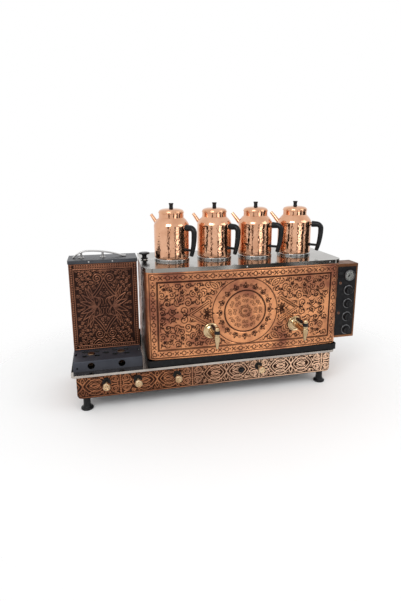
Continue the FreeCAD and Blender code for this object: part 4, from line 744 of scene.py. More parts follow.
def stems(x, y, size, angle):
    """A curling stem: one large curl, a small one turned back, and a fan of leaves."""
    c, s = math.cos(math.radians(angle)), math.sin(math.radians(angle))
    over_x, over_y = x + size * 1.25 * c, y + size * 1.25 * s
    return [curl(x, y, size, angle + 90, 1.6), curl(over_x, over_y, size * 0.62, angle - 100, 1.3, -1),
            fan(over_x, over_y, size * 1.1, size * 0.3, angle, 3, 38),
            leaf(x, y - size * 0.2, size * 1.3, size * 0.34, angle + 150)]


bold, fine = [], []
bold += border(border_left, border_low, border_right, border_high, BAND, 62.0)
bold += [ring(medal_x, medal_y, radius) for radius in (88, 90.5, 142)]
lobes = fan(medal_x, medal_y + 101, 23, 9, 90, 3, 44)
bold.append(repeated(lobes, medal_x, medal_y, 16))
fine.append(repeated(curl(medal_x + 23, medal_y + 112, 7, 200, 1.3), medal_x, medal_y, 16))
for radius, count, size in ((0, 1, 6), (22, 6, 8), (45, 8, 9), (68, 12, 9)):
    petal = np.concatenate([
        curl(medal_x - size * 0.7, medal_y + radius, size, 40 * radius, 1.3),
        leaf(medal_x + size * 0.4, medal_y + radius - size * 0.8, size * 1.7, size * 0.8, 62)])
    fine.append(repeated(petal, medal_x, medal_y, count))

FIELD_REACH = 240.0
tip = medal_x - FIELD_REACH
bold.append(mirrored(np.concatenate([line(tip, medal_y, tip + 84, medal_y + 54),
                                     line(tip + 14, medal_y, tip + 84, medal_y + 44)]),
                     x=medal_x, y=medal_y))
bold.append(mirrored(np.concatenate([curl(tip - 20, medal_y + 20, 19, -90, 1.4),
                                     leaf(tip - 4, medal_y + 2, 34, 9, 215),
                                     fan(tip + 68, medal_y + 4, 26, 9, 60, 3, 40)]),
                     x=medal_x, y=medal_y))
for dx, dy, size, angle in ((196, 84, 16, 118), (270, 72, 16, 80), (318, 112, 13, 180)):
    drawing = np.concatenate(stems(medal_x - dx, medal_y + dy, size, angle))
    bold.append(mirrored(drawing, x=medal_x, y=medal_y))
bold.append(mirrored(leaf(medal_x - 118, medal_y + 104, 46, 20, 140), x=medal_x, y=medal_y))
bold.append(mirrored(fan(medal_x - 168, medal_y, 34, 11, 0, 5, 80), x=medal_x))

# %% Press the tank's drawing
tank_shape = (len(front_path), tank_rows)
filling_start = 2 * medal_x - border_right + BAND + 2
filling = scrollwork(filling_start, border_low + BAND + 2, medal_x, medal_y, 42.0, 16.0)
filling = mirrored(filling, x=medal_x, y=medal_y)
u, v = np.meshgrid(front_u, tank_heights - tank_low[2], indexing="ij")
away = np.hypot(u - medal_x, v - medal_y)
field = (away > 149) & (u > border_left + BAND + 5) & (u < border_right - BAND - 5)
field &= (v > border_low + BAND + 5) & (v < border_high - BAND - 5)
bold_points = np.concatenate(bold)
clear = pressed(tank_shape, TANK_STEP, bold_points, 15.0) < 0.3
tank_plan = pressed(tank_shape, TANK_STEP, filling, 6.2) * field * clear
tank_plan = np.maximum(tank_plan, pressed(tank_shape, TANK_STEP, bold_points, 5.6))
tank_plan = np.maximum(tank_plan, pressed(tank_shape, TANK_STEP, np.concatenate(fine), 4.0, 0.85))
tank_plan[(front_u < border_left - 4) | (front_u > border_right + 4)] = 0
print("grooved share of the tank front: %.2f" % tank_plan.mean())

# %% Tank front and sides
tank_front = embossed("tank_front_sheet", front_path, plan_path(front_path), tank_heights,
                      tank_plan, 1.6, CLAD)


def side_sheet(name, x, y0, y1, z0, z1, outward, drawing, depth, step, gauge):
    """A flat embossed sheet along Y whose outside faces left or right."""
    ys = np.linspace(y0, y1, int(round((y1 - y0) / step)) + 1)
    zs = np.linspace(z0, z1, int(round((z1 - z0) / step)) + 1)
    path = np.stack([np.full_like(ys, x), ys], axis=1)
    normals = np.tile([outward, 0.0], (len(ys), 1))
    plan = np.zeros((len(ys), len(zs)))
    if drawing is not None:
        press(plan, step, drawing(y1 - y0, z1 - z0), 4.6)
    return embossed(name, path, normals, zs, plan, depth, gauge)


def side_drawing(width, height):
    """The side's own frame, a lozenge and curling stems, the same about both middles."""
    x, y = width / 2, (height - RIM) / 2
    marks = [frame_lines(edge, edge - 1, width - edge, height - RIM - edge + 1) for edge in (10, 26)]
    marks.append(mirrored(line(x - 96, y, x, y + 118), x=x, y=y))
    marks.append(mirrored(line(x - 84, y, x, y + 104), x=x, y=y))
    marks.append(mirrored(np.concatenate(stems(x - 96, y + 108, 18, 140)), x=x, y=y))
    marks.append(mirrored(np.concatenate(stems(x - 36, y + 40, 16, 60)), x=x, y=y))
    marks.append(mirrored(fan(x, y + 112, 34, 10, 90, 5, 70), y=y))
    marks.append(repeated(leaf(x, y + 4, 26, 10, 90), x, y, 8))
    return np.concatenate(marks)


side_front = front_corner_y + TANK_CORNER
tank_left_side = side_sheet("tank_left_sheet", tank_low[0], side_front, tank_high[1], tank_low[2],
                            tank_high[2], -1.0, side_drawing, 1.5, 2.6, CLAD)
tank_right_side = side_sheet("tank_right_sheet", tank_high[0], side_front, tank_high[1], tank_low[2],
                             tank_high[2], 1.0, side_drawing, 1.5, 2.6, CLAD)
tank_sheets = (tank_front, tank_left_side, tank_right_side)
# The left sheet takes the darker column copper as painted shade, for the side of the tank that is in shade.
for item, material in zip(tank_sheets, (tank_copper, column_copper, tank_copper)):
    dress(item, "tank_cladding", material)

# %% [markdown]
# ## The column
# The column's casing is a square tube in darker copper. Its ridges stand up between two
# grooves, as pressed sheet does. The front has two hearts of curls point to point, with sprays
# of leaves at the waist; the other three sides carry a simple frame.

# %% The column
column_low, column_high = low("column_casing"), high("column_casing")
COLUMN_STEP = 1.6


def column_drawing(width, height):
    """Two pointed hearts, sprays at the waist and curls at the tips; then the filling between."""
    x, y = width / 2 - 2, (height - 12) / 2
    half = mirrored(np.concatenate([
        bow(x, y + 104, x + 40, y + 44, -3), bow(x + 40, y + 44, x + 26, y + 2, -18),
        bow(x, y + 122, x + 52, y + 46, -3), bow(x + 52, y + 46, x + 30, y, -20),
        curl(x + 26, y + 122, 20, 190, 1.9, -1), curl(x + 26, y - 122, 20, 170, 1.9, 1),
        leaf(x + 34, y + 3, 66, 16, 20), leaf(x + 36, y + 4, 74, 15, 44), leaf(x + 42, y + 18, 72, 15, 64),
        leaf(x + 50, y + 36, 56, 12, 78), leaf(x + 30, y, 34, 10, 2),
        bow(x + 6, y + 12, x + 24, y + 40, 9), curl(x + 14, y + 56, 8, 90, 1.2),
    ]), x=x)
    edge = [mirrored(bow(x + 4, y - 172, x + 58, y - 172, 26), x=x),
            mirrored(bow(x + 14, y - 172, x + 48, y - 172, 14), x=x)]
    for where in np.arange(12, height - 18, 9.5):
        edge += [ring(10, where, 1.6), ring(width - 10, where, 1.6)]
    for where in np.arange(26, width - 20, 9.5):
        edge += [ring(where, 10, 1.6), leaf(where, height - 31, 11, 5, 90)]
    edge += [frame_lines(18, 18, width - 18, height - 36), frame_lines(3, 3, width - 3, height - 16)]
    filling = mirrored(scrollwork(20, 20, x, y, 21.0, 7.4), x=x, y=y)
    return np.concatenate([mirrored(half, y=y)] + edge), filling


def square_tube(name, box_low, box_high, step, drawing, plain_drawing, depth, gauge):
    """Four embossed walls in one closed ring; the corners keep an eased edge."""
    corners = np.array([[box_low[0], box_low[1]], [box_high[0], box_low[1]],
                        [box_high[0], box_high[1]], [box_low[0], box_high[1]]])
    ease = 1.5
    path, normals, plans = [], [], []
    height = box_high[2] - box_low[2]
    zs = np.linspace(box_low[2], box_high[2], int(round(height / step)) + 1)
    for k in range(4):
        start, end = corners[k], corners[(k + 1) % 4]
        size = np.linalg.norm(end - start)
        along = (end - start) / size
        outside = np.array([along[1], -along[0]])
        spots = np.linspace(ease, size - ease, int(round(size / (step if k == 0 else step * 2))) + 1)
        path.append(start + spots[:, None] * along)
        normals.append(np.tile(outside, (len(spots), 1)))
        fine_plan_shape = (int(round(size / step)) + 1, len(zs))
        main, filling = (drawing if k == 0 else plain_drawing)(size, height)
        plan = raised(fine_plan_shape, step, main, filling, 5.2, 3.0)
        pick = np.clip(np.round(spots / step).astype(int), 0, fine_plan_shape[0] - 1)
        plans.append(plan[pick])
        diagonal = (along + outside) / math.sqrt(2)
        path.append((end - diagonal * ease * 0.4)[None])
        normals.append(diagonal[None])
        plans.append(np.zeros((1, len(zs))))
    return embossed(name, np.concatenate(path), np.concatenate(normals), zs, np.concatenate(plans),
                    depth, gauge, wrap=True)


def plain_frame(width, height):
    """The sides' frame and lozenge, with larger curls as filling."""
    x, y = width / 2, height / 2
    main = np.concatenate([frame_lines(5, 4, width - 5, height - 16),
                           frame_lines(17, 16, width - 17, height - 30),
                           mirrored(line(x - 30, y, x, y + 74), x=x, y=y)])
    return main, mirrored(scrollwork(18, 18, x, y, 27.0, 9.5), x=x, y=y)


column_sheet = square_tube("column_sheet", column_low, column_high, COLUMN_STEP, column_drawing,
                           plain_frame, 1.8, CLAD)
dress(column_sheet, "column_casing", column_copper)

# %% [markdown]
# ## The base
# The base front is one long pressed strip with round lower corners. Pairs of pointed ovals,
# end to end, alternate with sprays of leaves. Behind it the strip turns along both sides and
# a little way under the chassis.

# %% The base front
base_low, base_high = low("base_cladding"), high("base_cladding")
BASE_CORNER, BASE_STEP = 18.0, 1.25


def base_drawing(width, height):
    """Ovals end to end, a beaded upright and a spray between each pair, and a filling of curls."""
    y = height / 2
    marks = [line(0, 4, width, 4), line(0, height - 5, width, height - 5)]
    pitch, first = 296.0, 22.0
    for k in range(4):
        x = first + pitch * k
        for side in (-1, 1):
            at = x + side * 50
            marks += [mandorla(at, y, 100, 80), mandorla(at, y, 74, 54), mandorla(at, y, 34, 22),
                      leaf(at - side * 22, y, 36, 10, 0 if side > 0 else 180)]
            marks.append(mirrored(bow(at - 30, y + 34, at + 30, y + 34, -14), y=y))
        marks.append(mirrored(leaf(x, y + 8, 30, 15, 90), y=y))
        mid = x + pitch / 2
        spray = np.concatenate([
            curl(mid + 22, y + 22, 15, 200, 1.5), leaf(mid + 10, y + 3, 38, 13, 12),
            leaf(mid + 8, y + 10, 30, 10, 64), bow(mid + 10, y + 42, mid + 44, y + 8, 9)])
        marks.append(mirrored(spray, x=mid, y=y))
        marks += [ring(mid, where, 2.2) for where in np.arange(10, height - 8, 8.5)]
    filling = mirrored(scrollwork(0, 6, width, y, 23.0, 7.5), y=y)
    return np.concatenate(marks), filling


def pressed_front(name, box_low, box_high, corner, step, drawing, depth, gauge):
    """A flat front with round lower corners: each level's width follows the corner's circle."""
    width, height = box_high[0] - box_low[0], box_high[2] - box_low[2]
    us = np.linspace(0, 1, int(round(width / step)) + 1)
    zs = np.linspace(0, height, int(round(height / step)) + 1)
    under = np.clip(corner - zs, 0, corner)
    inset = corner - np.sqrt(np.maximum(corner**2 - under**2, 0))
    x = inset[None, :] + us[:, None] * (width - 2 * inset)[None, :]
    plan = raised((len(us), len(zs)), step, *drawing(width, height), 4.6, 3.6)
    count, rows = x.shape
    face = np.stack([box_low[0] + x, box_low[1] + depth * plan, box_low[2] + zs + 0 * x], axis=2)
    face = face.reshape(-1, 3)
    rim = np.concatenate([np.arange(rows), np.arange(1, count) * rows + rows - 1,
                          (count - 1) * rows + np.arange(rows - 1)[::-1],
                          np.arange(1, count - 1)[::-1] * rows])
    back = face[rim]
    back[:, 1] = box_low[1] + gauge
    behind = len(face) + np.arange(len(rim))
    faces = [grid_faces(count, rows), behind[None],
             np.stack([rim, np.roll(rim, -1), np.roll(behind, -1), behind], axis=1)]
    return mark_grooves(make_piece(name, np.concatenate([face, back]), faces, merge=False), plan)


base_front = pressed_front("base_front_sheet", base_low, base_high, BASE_CORNER, BASE_STEP,
                           base_drawing, 1.7, CLAD)

# %% The base sides
def wrapped_side(name, left, y0, y1):
    """A strip down the side, round the lower corner and a little way under, carried along Y."""
    edge, inward = (base_low[0], 1) if left else (base_high[0], -1)
    bottom, top, lip = base_low[2], base_high[2], 8.0
    round_middle = (BASE_CORNER, bottom + BASE_CORNER)
    loop = np.concatenate([
        [[0, top]], arc_points(*round_middle, BASE_CORNER, 180, 270, 9),
        [[BASE_CORNER + lip, bottom], [BASE_CORNER + lip, bottom + CLAD]],
        arc_points(*round_middle, BASE_CORNER - CLAD, 270, 180, 9), [[CLAD, top]]])
    count = len(loop)
    ends = [np.stack([edge + inward * loop[:, 0], np.full(count, y), loop[:, 1]], axis=1)
            for y in (y0, y1)]
    faces = [grid_faces(2, count, wrap_columns=True), np.arange(2 * count).reshape(2, count)]
    return mark_grooves(make_piece(name, np.concatenate(ends), faces, merge=False), np.zeros(0))


base_left = wrapped_side("base_left_sheet", True, base_low[1] + CLAD, base_high[1])
base_right = wrapped_side("base_right_sheet", False, base_low[1] + CLAD, base_high[1])
for item in (base_front, base_left, base_right):
    dress(item, "base_cladding", base_copper)

# %% [markdown]
# ## The teapots
# Each pot is spun from copper sheet and hammered: straight walls, a shoulder and a neck. Its
# spout is a straight cone, its black handle a thick arm that bends down beside the pot. The
# dimples are real movements of the wall, about a third of a millimetre deep, because only a
# moving surface breaks up a reflection the way hammered copper does.

# %% Pot sizes and places
POT_TURN = {1: -50.0, 2: -50.0, 3: -44.0, 4: -44.0}
POT_RADIUS, NECK_RADIUS, POT_HEIGHT = 75.0, 52.5, 188.0


def pot_frame(number):
    """The pot's foot and its turning matrix, whose X points along the handle."""
    lid = middle("pot_lid_%d" % number)
    foot = np.array([lid[0], lid[1], low("pot_body_%d" % number)[2]])
    a = math.radians(POT_TURN[number])
    turn = np.array([[math.cos(a), -math.sin(a), 0], [math.sin(a), math.cos(a), 0], [0, 0, 1]])
    return foot, turn


def dimples(radius, height, angle):
    """Shallow hollows on a staggered lattice, fading out at the foot, shoulder and inside."""
    row = height / 11.0
    column = angle * 20 / np.pi + 0.5 * np.floor(row) + 0.2 * np.sin(2.3 * np.floor(row))
    hollow = np.sin(np.pi * (row % 1)) * np.sin(np.pi * (column % 1)) ** 2
    uneven = 0.7 + 0.5 * np.sin(5.0 * np.floor(column) + 3.0 * np.floor(row))
    drift = 0.3 * np.sin(2.0 * angle + height / 17.0) * np.sin(height / 23.0)
    rise, fall = np.clip((height - 20) / 8, 0, 1), np.clip((135 - height) / 8, 0, 1)
    on_wall = (radius > POT_RADIUS - 0.6) * rise * fall
    return -(0.42 * hollow * uneven + 0.22 + drift * 0.5) * on_wall


def pot_profile():
    """Outside from the foot up, over a rolled rim, and down the inside to the axis."""
    foot = arc_points(71, 4, 4, 270, 360, 6)
    wall = np.stack([np.full(70, POT_RADIUS), np.linspace(6, 136, 70)], axis=1)
    reach = np.linspace(0, 1, 16)[1:]
    shoulder = np.stack([POT_RADIUS - (POT_RADIUS - NECK_RADIUS) * reach**1.6, 136 + 34 * reach], axis=1)
    neck = np.array([[NECK_RADIUS, 172], [NECK_RADIUS, 185]])
    roll = arc_points(NECK_RADIUS - 0.75, POT_HEIGHT - 0.8, 0.8, 0, 180, 6)
    inner = [[51, 168], [51, 166], [62, 157], [70, 145.5], [73.5, 136], [73.5, 6], [71, 1.5], [0, 1.5]]
    return np.concatenate([[[0, 0], [60, 0]], foot, wall, shoulder, neck, roll, inner])


def make_pot(number):
    """The shell, the spout, whose mouth is turned back inside, and the pin above the handle."""
    foot, turn = pot_frame(number)
    shell = turned("pot_shell_%d" % number, pot_profile(), foot, turn, steps=240, ripple=dimples)
    start, end = np.array([-60.0, 0.0, 114.0]), np.array([-116.0, 0.0, 175.0])
    root, tip = 11.8, 6.6
    t = np.linspace(0, 1, 20)
    radii = np.concatenate([[0], root + (tip - root) * t**0.8, [tip + 0.5, tip - 0.9, tip - 1.4, 4.6, 0]])
    share = np.concatenate([[0], t, [1, 1, 0.97, 0.6, 0.6]])
    side = np.array([0.0, 1.0, 0.0])
    over = np.cross((end - start) / np.linalg.norm(end - start), side)
    angle = np.linspace(0, 2 * np.pi, 36, endpoint=False)
    circle = side * np.cos(angle)[:, None] + over * np.sin(angle)[:, None]
    rings = (start + (end - start) * share[:, None])[:, None] + circle * radii[:, None, None]
    spout = make_piece("pot_spout_%d" % number, rings.reshape(-1, 3) @ turn.T + foot,
                       [grid_faces(len(rings), len(angle), wrap_columns=True)])
    pin = eased([[0, 70], [10, 70], [9.5, 76], [6, 77.5], [6, 80.7], [0, 80.7]], 0.8)
    upper = turned("upper_pin", pin, foot + turn @ [0, 0, 131], turn @ SIDEWAYS, steps=32)
    dress(joined("pot_%d" % number, [shell, spout, upper]), "pot_body_%d" % number, pot_copper)


def make_handle(number):
    """The arm leaves thick, bends down round a tight elbow and tapers to its lower end."""
    foot, turn = pot_frame(number)
    arm = np.stack([np.linspace(81.3, 104, 14), np.full(14, 131.0)], axis=1)
    elbow = arc_points(104, 112, 19, 90, 0, 22)
    t = np.linspace(0, 1, 30)[1:]
    grip = np.stack([123 - 16.0 * t**2.2, 112 - 98 * t], axis=1)
    path = np.concatenate([arm, elbow[1:], grip])
    share = np.linspace(0, 1, len(path))
    radii = 14.2 - 4.2 * np.clip(share / 0.35, 0, 1) ** 0.8
    radii += 1.6 * np.sin(np.pi * share) - 1.6 * share**3
    cap = np.array([0.0, 0.6, 0.9])
    start = np.repeat(path[:1], 3, axis=0) + np.array([[0, 0], [0.1, 0], [0.6, 0]])
    end = np.repeat(path[-1:], 3, axis=0) + np.array([[0, 0.9], [0, 0.3], [0, 0]])
    path = np.concatenate([start, path[1:-1], end])
    radii = np.concatenate([cap * radii[0], radii[1:-1], radii[-1] * cap[::-1]])
    local = np.stack([path[:, 0], 0 * path[:, 0], path[:, 1]], axis=1)
    grip = tube("grip", local @ turn.T + foot, radii, turn @ [0, 1, 0], steps=36)
    rod = eased([[0, 74], [7.5, 74], [7.5, 77.5], [5.4, 79.5], [5.4, 113], [0, 113]], 0.8)
    bracket = turned("bracket", rod, foot + turn @ [0, 0, 38], turn @ SIDEWAYS, steps=28)
    dress(joined("pot_grip_%d" % number, [grip, bracket]), "pot_handle_%d" % number, black_plastic)


def make_lid(number):
    """A dome over a rim that reaches down into the neck, and the knob on top."""
    centre = middle("pot_lid_%d" % number)
    base = np.array([centre[0], centre[1], high("pot_body_%d" % number)[2]])
    t = np.linspace(0, 1, 26)
    across, upward = np.cos(t * np.pi / 2), np.sin(t * np.pi / 2)
    dome = np.stack([12 + 41 * across**0.85, 5.2 + 14.6 * upward**0.9], axis=1)
    under = np.stack([12 + 36 * t, 18.4 - 14.6 * (1 - across)], axis=1)
    rim = [[48.3, -8.6], [49.2, -9], [49.8, -8.4], [49.8, 0], [53.8, 0], [54.5, 0.8], [54.5, 4.2],
           [54.1, 5.0]]
    profile = np.concatenate([[[0, 18.4]], under, rim, dome, [[10, 20], [0, 20]]])
    lid = turned("lid_%d" % number, profile, base, steps=120)
    dress(lid, "pot_lid_%d" % number, lid_copper)
    knob = eased([[0, 0], [9, 0], [9, 2.2], [8.1, 4], [8.1, 12], [8.9, 16.5], [10.4, 18.5],
                  [10.4, 20.8], [9, 22], [0, 22]], 1.1)
    top = turned("lid_grip_%d" % number, knob, base + [0, 0, 20], steps=48)
    dress(top, "lid_knob_%d" % number, black_plastic)


for number in POT_TURN:
    make_pot(number)
    make_handle(number)
    make_lid(number)
print("pots, handles and lids made")

# %% [markdown]
# ## Taps
# A tap has a dished rosette on the tank, a barrel, an upright body that tapers to its outlet,
# and a cap above the lever. The lever turns on the stem: a brass hub, a neck and a black grip.

# %% Taps
def forward(name, profile, centre, reach=0.6, steps=56):
    """A turned piece whose axis points to the front; heights count forward from the centre."""
    return turned(name, eased(profile, reach), centre, FORWARD, steps)


taps = {}
HUB_RADIUS, HUB_HEIGHT = 11.0, 13.0
for side in ("left", "right"):
    lever = "tap_lever_" + side
    taps[side] = (middle(lever)[0], low(lever)[1] + HUB_RADIUS)
tap_level = (low("tap_rosettes")[2] + high("tap_rosettes")[2]) / 2
discs, brasses = [], []
TAP_REACH = 100.0
barrel = eased([[0, -36], [17, -36], [17, -28.5], [9, -28], [9, 0], [11, 0], [11, 12], [13, 14], [13, 19],
                [11, 21], [11, 84], [12.5, 86], [12.5, 96], [8, 100], [0, 100]], 1.2)
upright = eased([[0, -39], [3.2, -39], [4.8, -39], [5.2, -36], [7.4, -24], [10, -12], [11.9, -7],
                 [11.9, 10], [10.4, 13], [10.4, 17], [11.9, 19], [11.9, 22], [6, 22], [6, 35.4],
                 [9.5, 35.4], [9.5, 45], [7, 48.8], [0, 49]], 1.2)
rosette = eased([[11.2, 0], [33, 0], [33, 1.6], [30, 3.6], [27, 2.6], [24, 3.2], [17.5, 8.4], [14, 9],
                 [11.2, 9]], 1.0)
for side, (x, nose) in taps.items():
    seat = np.array([x, nose + TAP_REACH, tap_level])
    discs.append(turned("disc_" + side, rosette, seat, FORWARD))
    brasses.append(turned("barrel_" + side, barrel, seat, FORWARD, 56))
    brasses.append(turned("upright_" + side, upright, [x, nose, tap_level], steps=56))
dress(joined("tap_discs", discs), "tap_rosettes", tap_brass)
dress(joined("tap_brasses", brasses), "tap_bodies", tap_brass)

for side, (x, nose) in taps.items():
    base_z = middle("tap_lever_" + side)[2] - HUB_HEIGHT / 2
    hub = [[6.3, 1.4], [7.5, 0.15], [10.4, 0.15], [11, 0.8],
           [11, 12.2], [10.4, 12.85], [7.5, 12.85], [6.3, 11.6]]
    hub_piece = turned("hub_" + side, hub, [x, nose, base_z], steps=56, closed=True)
    t = np.linspace(0, 1, 40)
    reach = 8 + 75.6 * t
    grip_share = np.clip((reach - 28) / 8, 0, 1)
    radii = 4.0 + 3.4 * grip_share ** 0.7
    radii[-4:] = [7.0, 6.2, 4.6, 0.0]
    radii[0] = 0.0
    path = np.stack([x + 0 * t, nose + reach, base_z + HUB_HEIGHT / 2 + 0 * t], axis=1)
    grip = tube("grip_" + side, path, radii, (1, 0, 0), steps=32)
    lever = joined("lever_" + side, [hub_piece, grip])
    dress(lever, "tap_lever_" + side, black_plastic)
print("taps at", [round(x) for x, _ in taps.values()])

# %% [markdown]
# ## Gas knobs, bezels, igniter and feet
# The gas knobs are small brass bells on slim stems. Six shallow flutes run down each bell for
# the fingers. The feet are black enamelled pillars that flare into round plates.

# %% Gas knobs and igniter
def flutes(radius, height, angle):
    """Six shallow flutes on the bell, none on its stem."""
    on_bell = np.clip((height - 26) / 8, 0, 1) * np.clip((radius - 9) / 5, 0, 1)
    return -0.9 * on_bell * np.clip(np.cos(6 * angle), 0, 1) ** 2


panel_y = base_low[1]
bell = [[0, -26], [4, -26], [4, 4], [5.5, 6], [5.5, 10], [4, 12], [4.4, 18], [7, 24], [11.5, 30],
        [15, 35], [16, 38], [16, 43], [13.5, 48.4], [12, 49], [10.8, 48.6], [10.4, 43.5], [5, 43],
        [4.2, 46.6], [0, 48]]
knob_places = [middle("gas_knob_%d" % k) for k in range(1, 5)]
for k, place in enumerate(knob_places, start=1):
    item = turned("gas_bell_%d" % k, eased(bell, 1.4), [place[0], panel_y, place[2]], FORWARD, 72, flutes)
    dress(item, "gas_knob_%d" % k, knob_brass)
bezels = [forward("bezel_%d" % k, [[5, 0], [17, 0], [17, 1.8], [15.6, 3], [12, 3], [10, 2.2], [5, 2.2]],
                  [place[0], panel_y, place[2]], 0.5) for k, place in enumerate(knob_places)]
dress(joined("bezels", bezels), "valve_bezels", black_matte)

FOOT_RADIUS = 25.0
feet_low, feet_high = low("feet") + FOOT_RADIUS, high("feet") - FOOT_RADIUS
foot = eased([[0, 0], [23.5, 0], [FOOT_RADIUS, 1.6], [FOOT_RADIUS, 7], [22, 9.2], [17, 13], [14.8, 20],
              [14.5, 30], [14.5, 60], [0, 60]], 1.6)
corners = [(x, y) for x in (feet_low[0], feet_high[0]) for y in (feet_low[1], feet_high[1])]
feet = [turned("foot_%d" % k, foot, [x, y, 0], steps=72) for k, (x, y) in enumerate(corners)]
dress(joined("feet_turned", feet), "feet", black_plastic)

# %% [markdown]
# ## Column handle, filler and burners
# The arched handle is a flat steel strip: steep at the left, long and low at the right, on two
# small posts. The strip is a rounded rectangle carried along the arch. The filler has a wide
# black knob, and the coffee burners show their slotted caps through the shelf.

# %% Column handle
arch_low, arch_high = low("column_handle"), high("column_handle")
arch_left, arch_rise = arch_low[0], arch_high[2] - arch_low[2]
LEFT_RUN = 63.0
crown, arch_right = arch_left + LEFT_RUN, arch_high[0]
arch_y = (arch_low[1] + arch_high[1]) / 2


def arch_height(x):
    """Two circles that share their level top at the crown, one for each side."""
    run = np.where(x < crown, LEFT_RUN, arch_right - crown)
    radius = (run**2 + arch_rise**2) / (2 * arch_rise)
    return arch_rise - radius + np.sqrt(np.maximum(radius**2 - (x - crown) ** 2, 0))


STRIP = 5.5
xs = crown + (arch_left + 1 - crown) * np.cos(np.linspace(0, np.pi / 2, 30))
xs = np.concatenate([xs, crown + (arch_right - 2 - crown) * np.sin(np.linspace(0, np.pi / 2, 50))[1:]])
tops = np.maximum(arch_height(xs) - STRIP / 2, STRIP / 2)
centre_line = np.stack([xs, tops], axis=1)
along = np.gradient(centre_line, axis=0)
along /= np.linalg.norm(along, axis=1, keepdims=True)
outward = np.stack([-along[:, 1], along[:, 0]], axis=1)
angle = np.linspace(0, 2 * np.pi, 32, endpoint=False)
square_cos = np.sign(np.cos(angle)) * np.abs(np.cos(angle)) ** 0.35
square_sin = np.sign(np.sin(angle)) * np.abs(np.sin(angle)) ** 0.5
shape = np.ones(len(xs))
shape[[0, -1]] = 0.0
lift = outward[:, None] * (square_sin * STRIP / 2)[None, :, None] * shape[:, None, None]
flat = centre_line[:, None] + lift
widths = (square_cos * 9.6)[None, :] * shape[:, None]
strip_points = np.stack([flat[:, :, 0], arch_y + widths, arch_low[2] + flat[:, :, 1]], axis=2)
strip = make_piece("strip", strip_points.reshape(-1, 3), [grid_faces(len(xs), 32, wrap_columns=True)])
posts = []
for x in (arch_left + 36.0, arch_left + 123.0):
    top = float(arch_height(np.array([x]))[0]) - STRIP * 0.6
    profile = eased([[0, 0], [12.6, 0], [12.6, 1.4], [10.6, 3], [5.4, 3.4], [4.5, 5],
                     [4.5, top - 2], [6, top], [0, top]], 0.7)
    posts.append(turned("post", profile, [x, arch_y, arch_low[2]], steps=48))
dress(joined("arched_handle", [strip] + posts), "column_handle", bright_steel)

# %% Filler and burners
filler = middle("filler_cap")
lid_base = low("filler_knob")[2] - 3.0
cap = eased([[0, -10], [8.5, -10], [8.5, 0], [16, 0], [16, 1.8], [14.5, 3], [0, 3]], 0.5)
dress(turned("filler_plug", cap, [filler[0], filler[1], lid_base]), "filler_cap", black_matte)
knob = eased([[0, 0], [10.3, 0], [9.6, 10], [12.5, 15], [21, 17.4], [23, 18.6], [23, 22], [21, 24],
              [0, 24]], 1.2)
dress(turned("filler_grip", knob, [filler[0], filler[1], lid_base + 3]), "filler_knob", black_plastic)

# %% [markdown]
# ## Control box
# The thermostat knobs are black with a raised bar, each over a steel ring. The gauge has a
# plain pale card, a dark needle and a domed glass. Its casing is softened sheet, as are the
# deck, the shelf and the small parts: their drawn shape is already the right one.

# %% Control box
BAR_WIDTH, BAR_LENGTH = 5.6, 30.4
BEZEL_DEPTH = 8.0
square = np.array([[-0.5, -0.5], [0.5, -0.5], [0.5, 0.5], [-0.5, 0.5]])
face_y = low("gauge_body")[1] + BEZEL_DEPTH


def ribs(radius, height, angle):
    """Fine upright ribs round a knob's rim."""
    return 0.35 * (np.cos(40 * angle) - 1) * ((radius > 14) & (height > 5))


def raised_bar(name, x, z):
    """A bar in three levels: its foot, its shoulder and a narrower top."""
    levels = [np.stack([x + square[:, 0] * BAR_WIDTH * share, np.full(4, face_y - rise),
                        z + square[:, 1] * BAR_LENGTH], axis=1)
              for rise, share in ((15.5, 1.0), (18.6, 1.0), (19.4, 0.7))]
    faces = [grid_faces(3, 4, wrap_columns=True), np.array([[0, 1, 2, 3], [8, 9, 10, 11]])]
    return make_piece(name, np.concatenate(levels), faces)


dial = eased([[0, -20], [3, -20], [3, 3], [19, 3], [19, 4.6], [17.5, 6], [16.6, 14.6], [14.2, 17],
              [0, 17]], 0.7)
for k in range(1, 5):
    node = "thermostat_knob_%d" % k
    x, _, z = middle(node)
    knob_piece = turned("dial_%d" % k, dial, [x, face_y, z], FORWARD, 160, ribs)
    bar = raised_bar("bar_%d" % k, x, z)
    dress(joined("thermostat_dial_%d" % k, [knob_piece, bar]), node, black_plastic)

# %% Sheets and small parts that keep their drawn shape
for node, width, material in (
        ("top_deck", 0.7, deck_steel), ("tank_top", 0.7, top_steel), ("pot_seats", 0.8, bright_steel),
        ("coffee_shelf", 0.5, shelf_steel), ("column_top", 0.7, cap_steel),
        ("fire_box", 0.6, black_paint), ("control_panel", 0.5, black_paint),
        ("gauge_body", 0.4, dial_steel), ("thermostat_bodies", 0.3, dial_steel),
        ("power_switch", 0.5, black_plastic), ("igniter_body", 0.4, black_matte),
        ("igniter_button", 0.4, black_plastic), ("gas_burners", 0.5, burner_iron),
        ("gas_inlet", 0.6, black_matte), ("cover_screws", 0.3, bright_steel),
        ("control_casing", 0.7, control_copper)):
    softened(node, width, material)

gauge = middle("gauge_body")
face = turned("face", [[0, 2.3], [20.4, 2.3], [20.4, 1.9], [0, 1.9]], [gauge[0], face_y, gauge[2]], FORWARD)
face.data.materials.append(dial_card)
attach(face, body_of_node["gauge_body"])


def clear_glass():
    made = Finish("gauge glass", (0.96, 0.98, 0.98), 0.0, 0.03)
    made.shader.inputs["Transmission Weight"].default_value = 1.0
    made.shader.inputs["IOR"].default_value = 1.45
    made.tint(made.use(DUST, Scale=40.0, Amount=0.04), (0.8, 0.8, 0.8))
    return made.done()


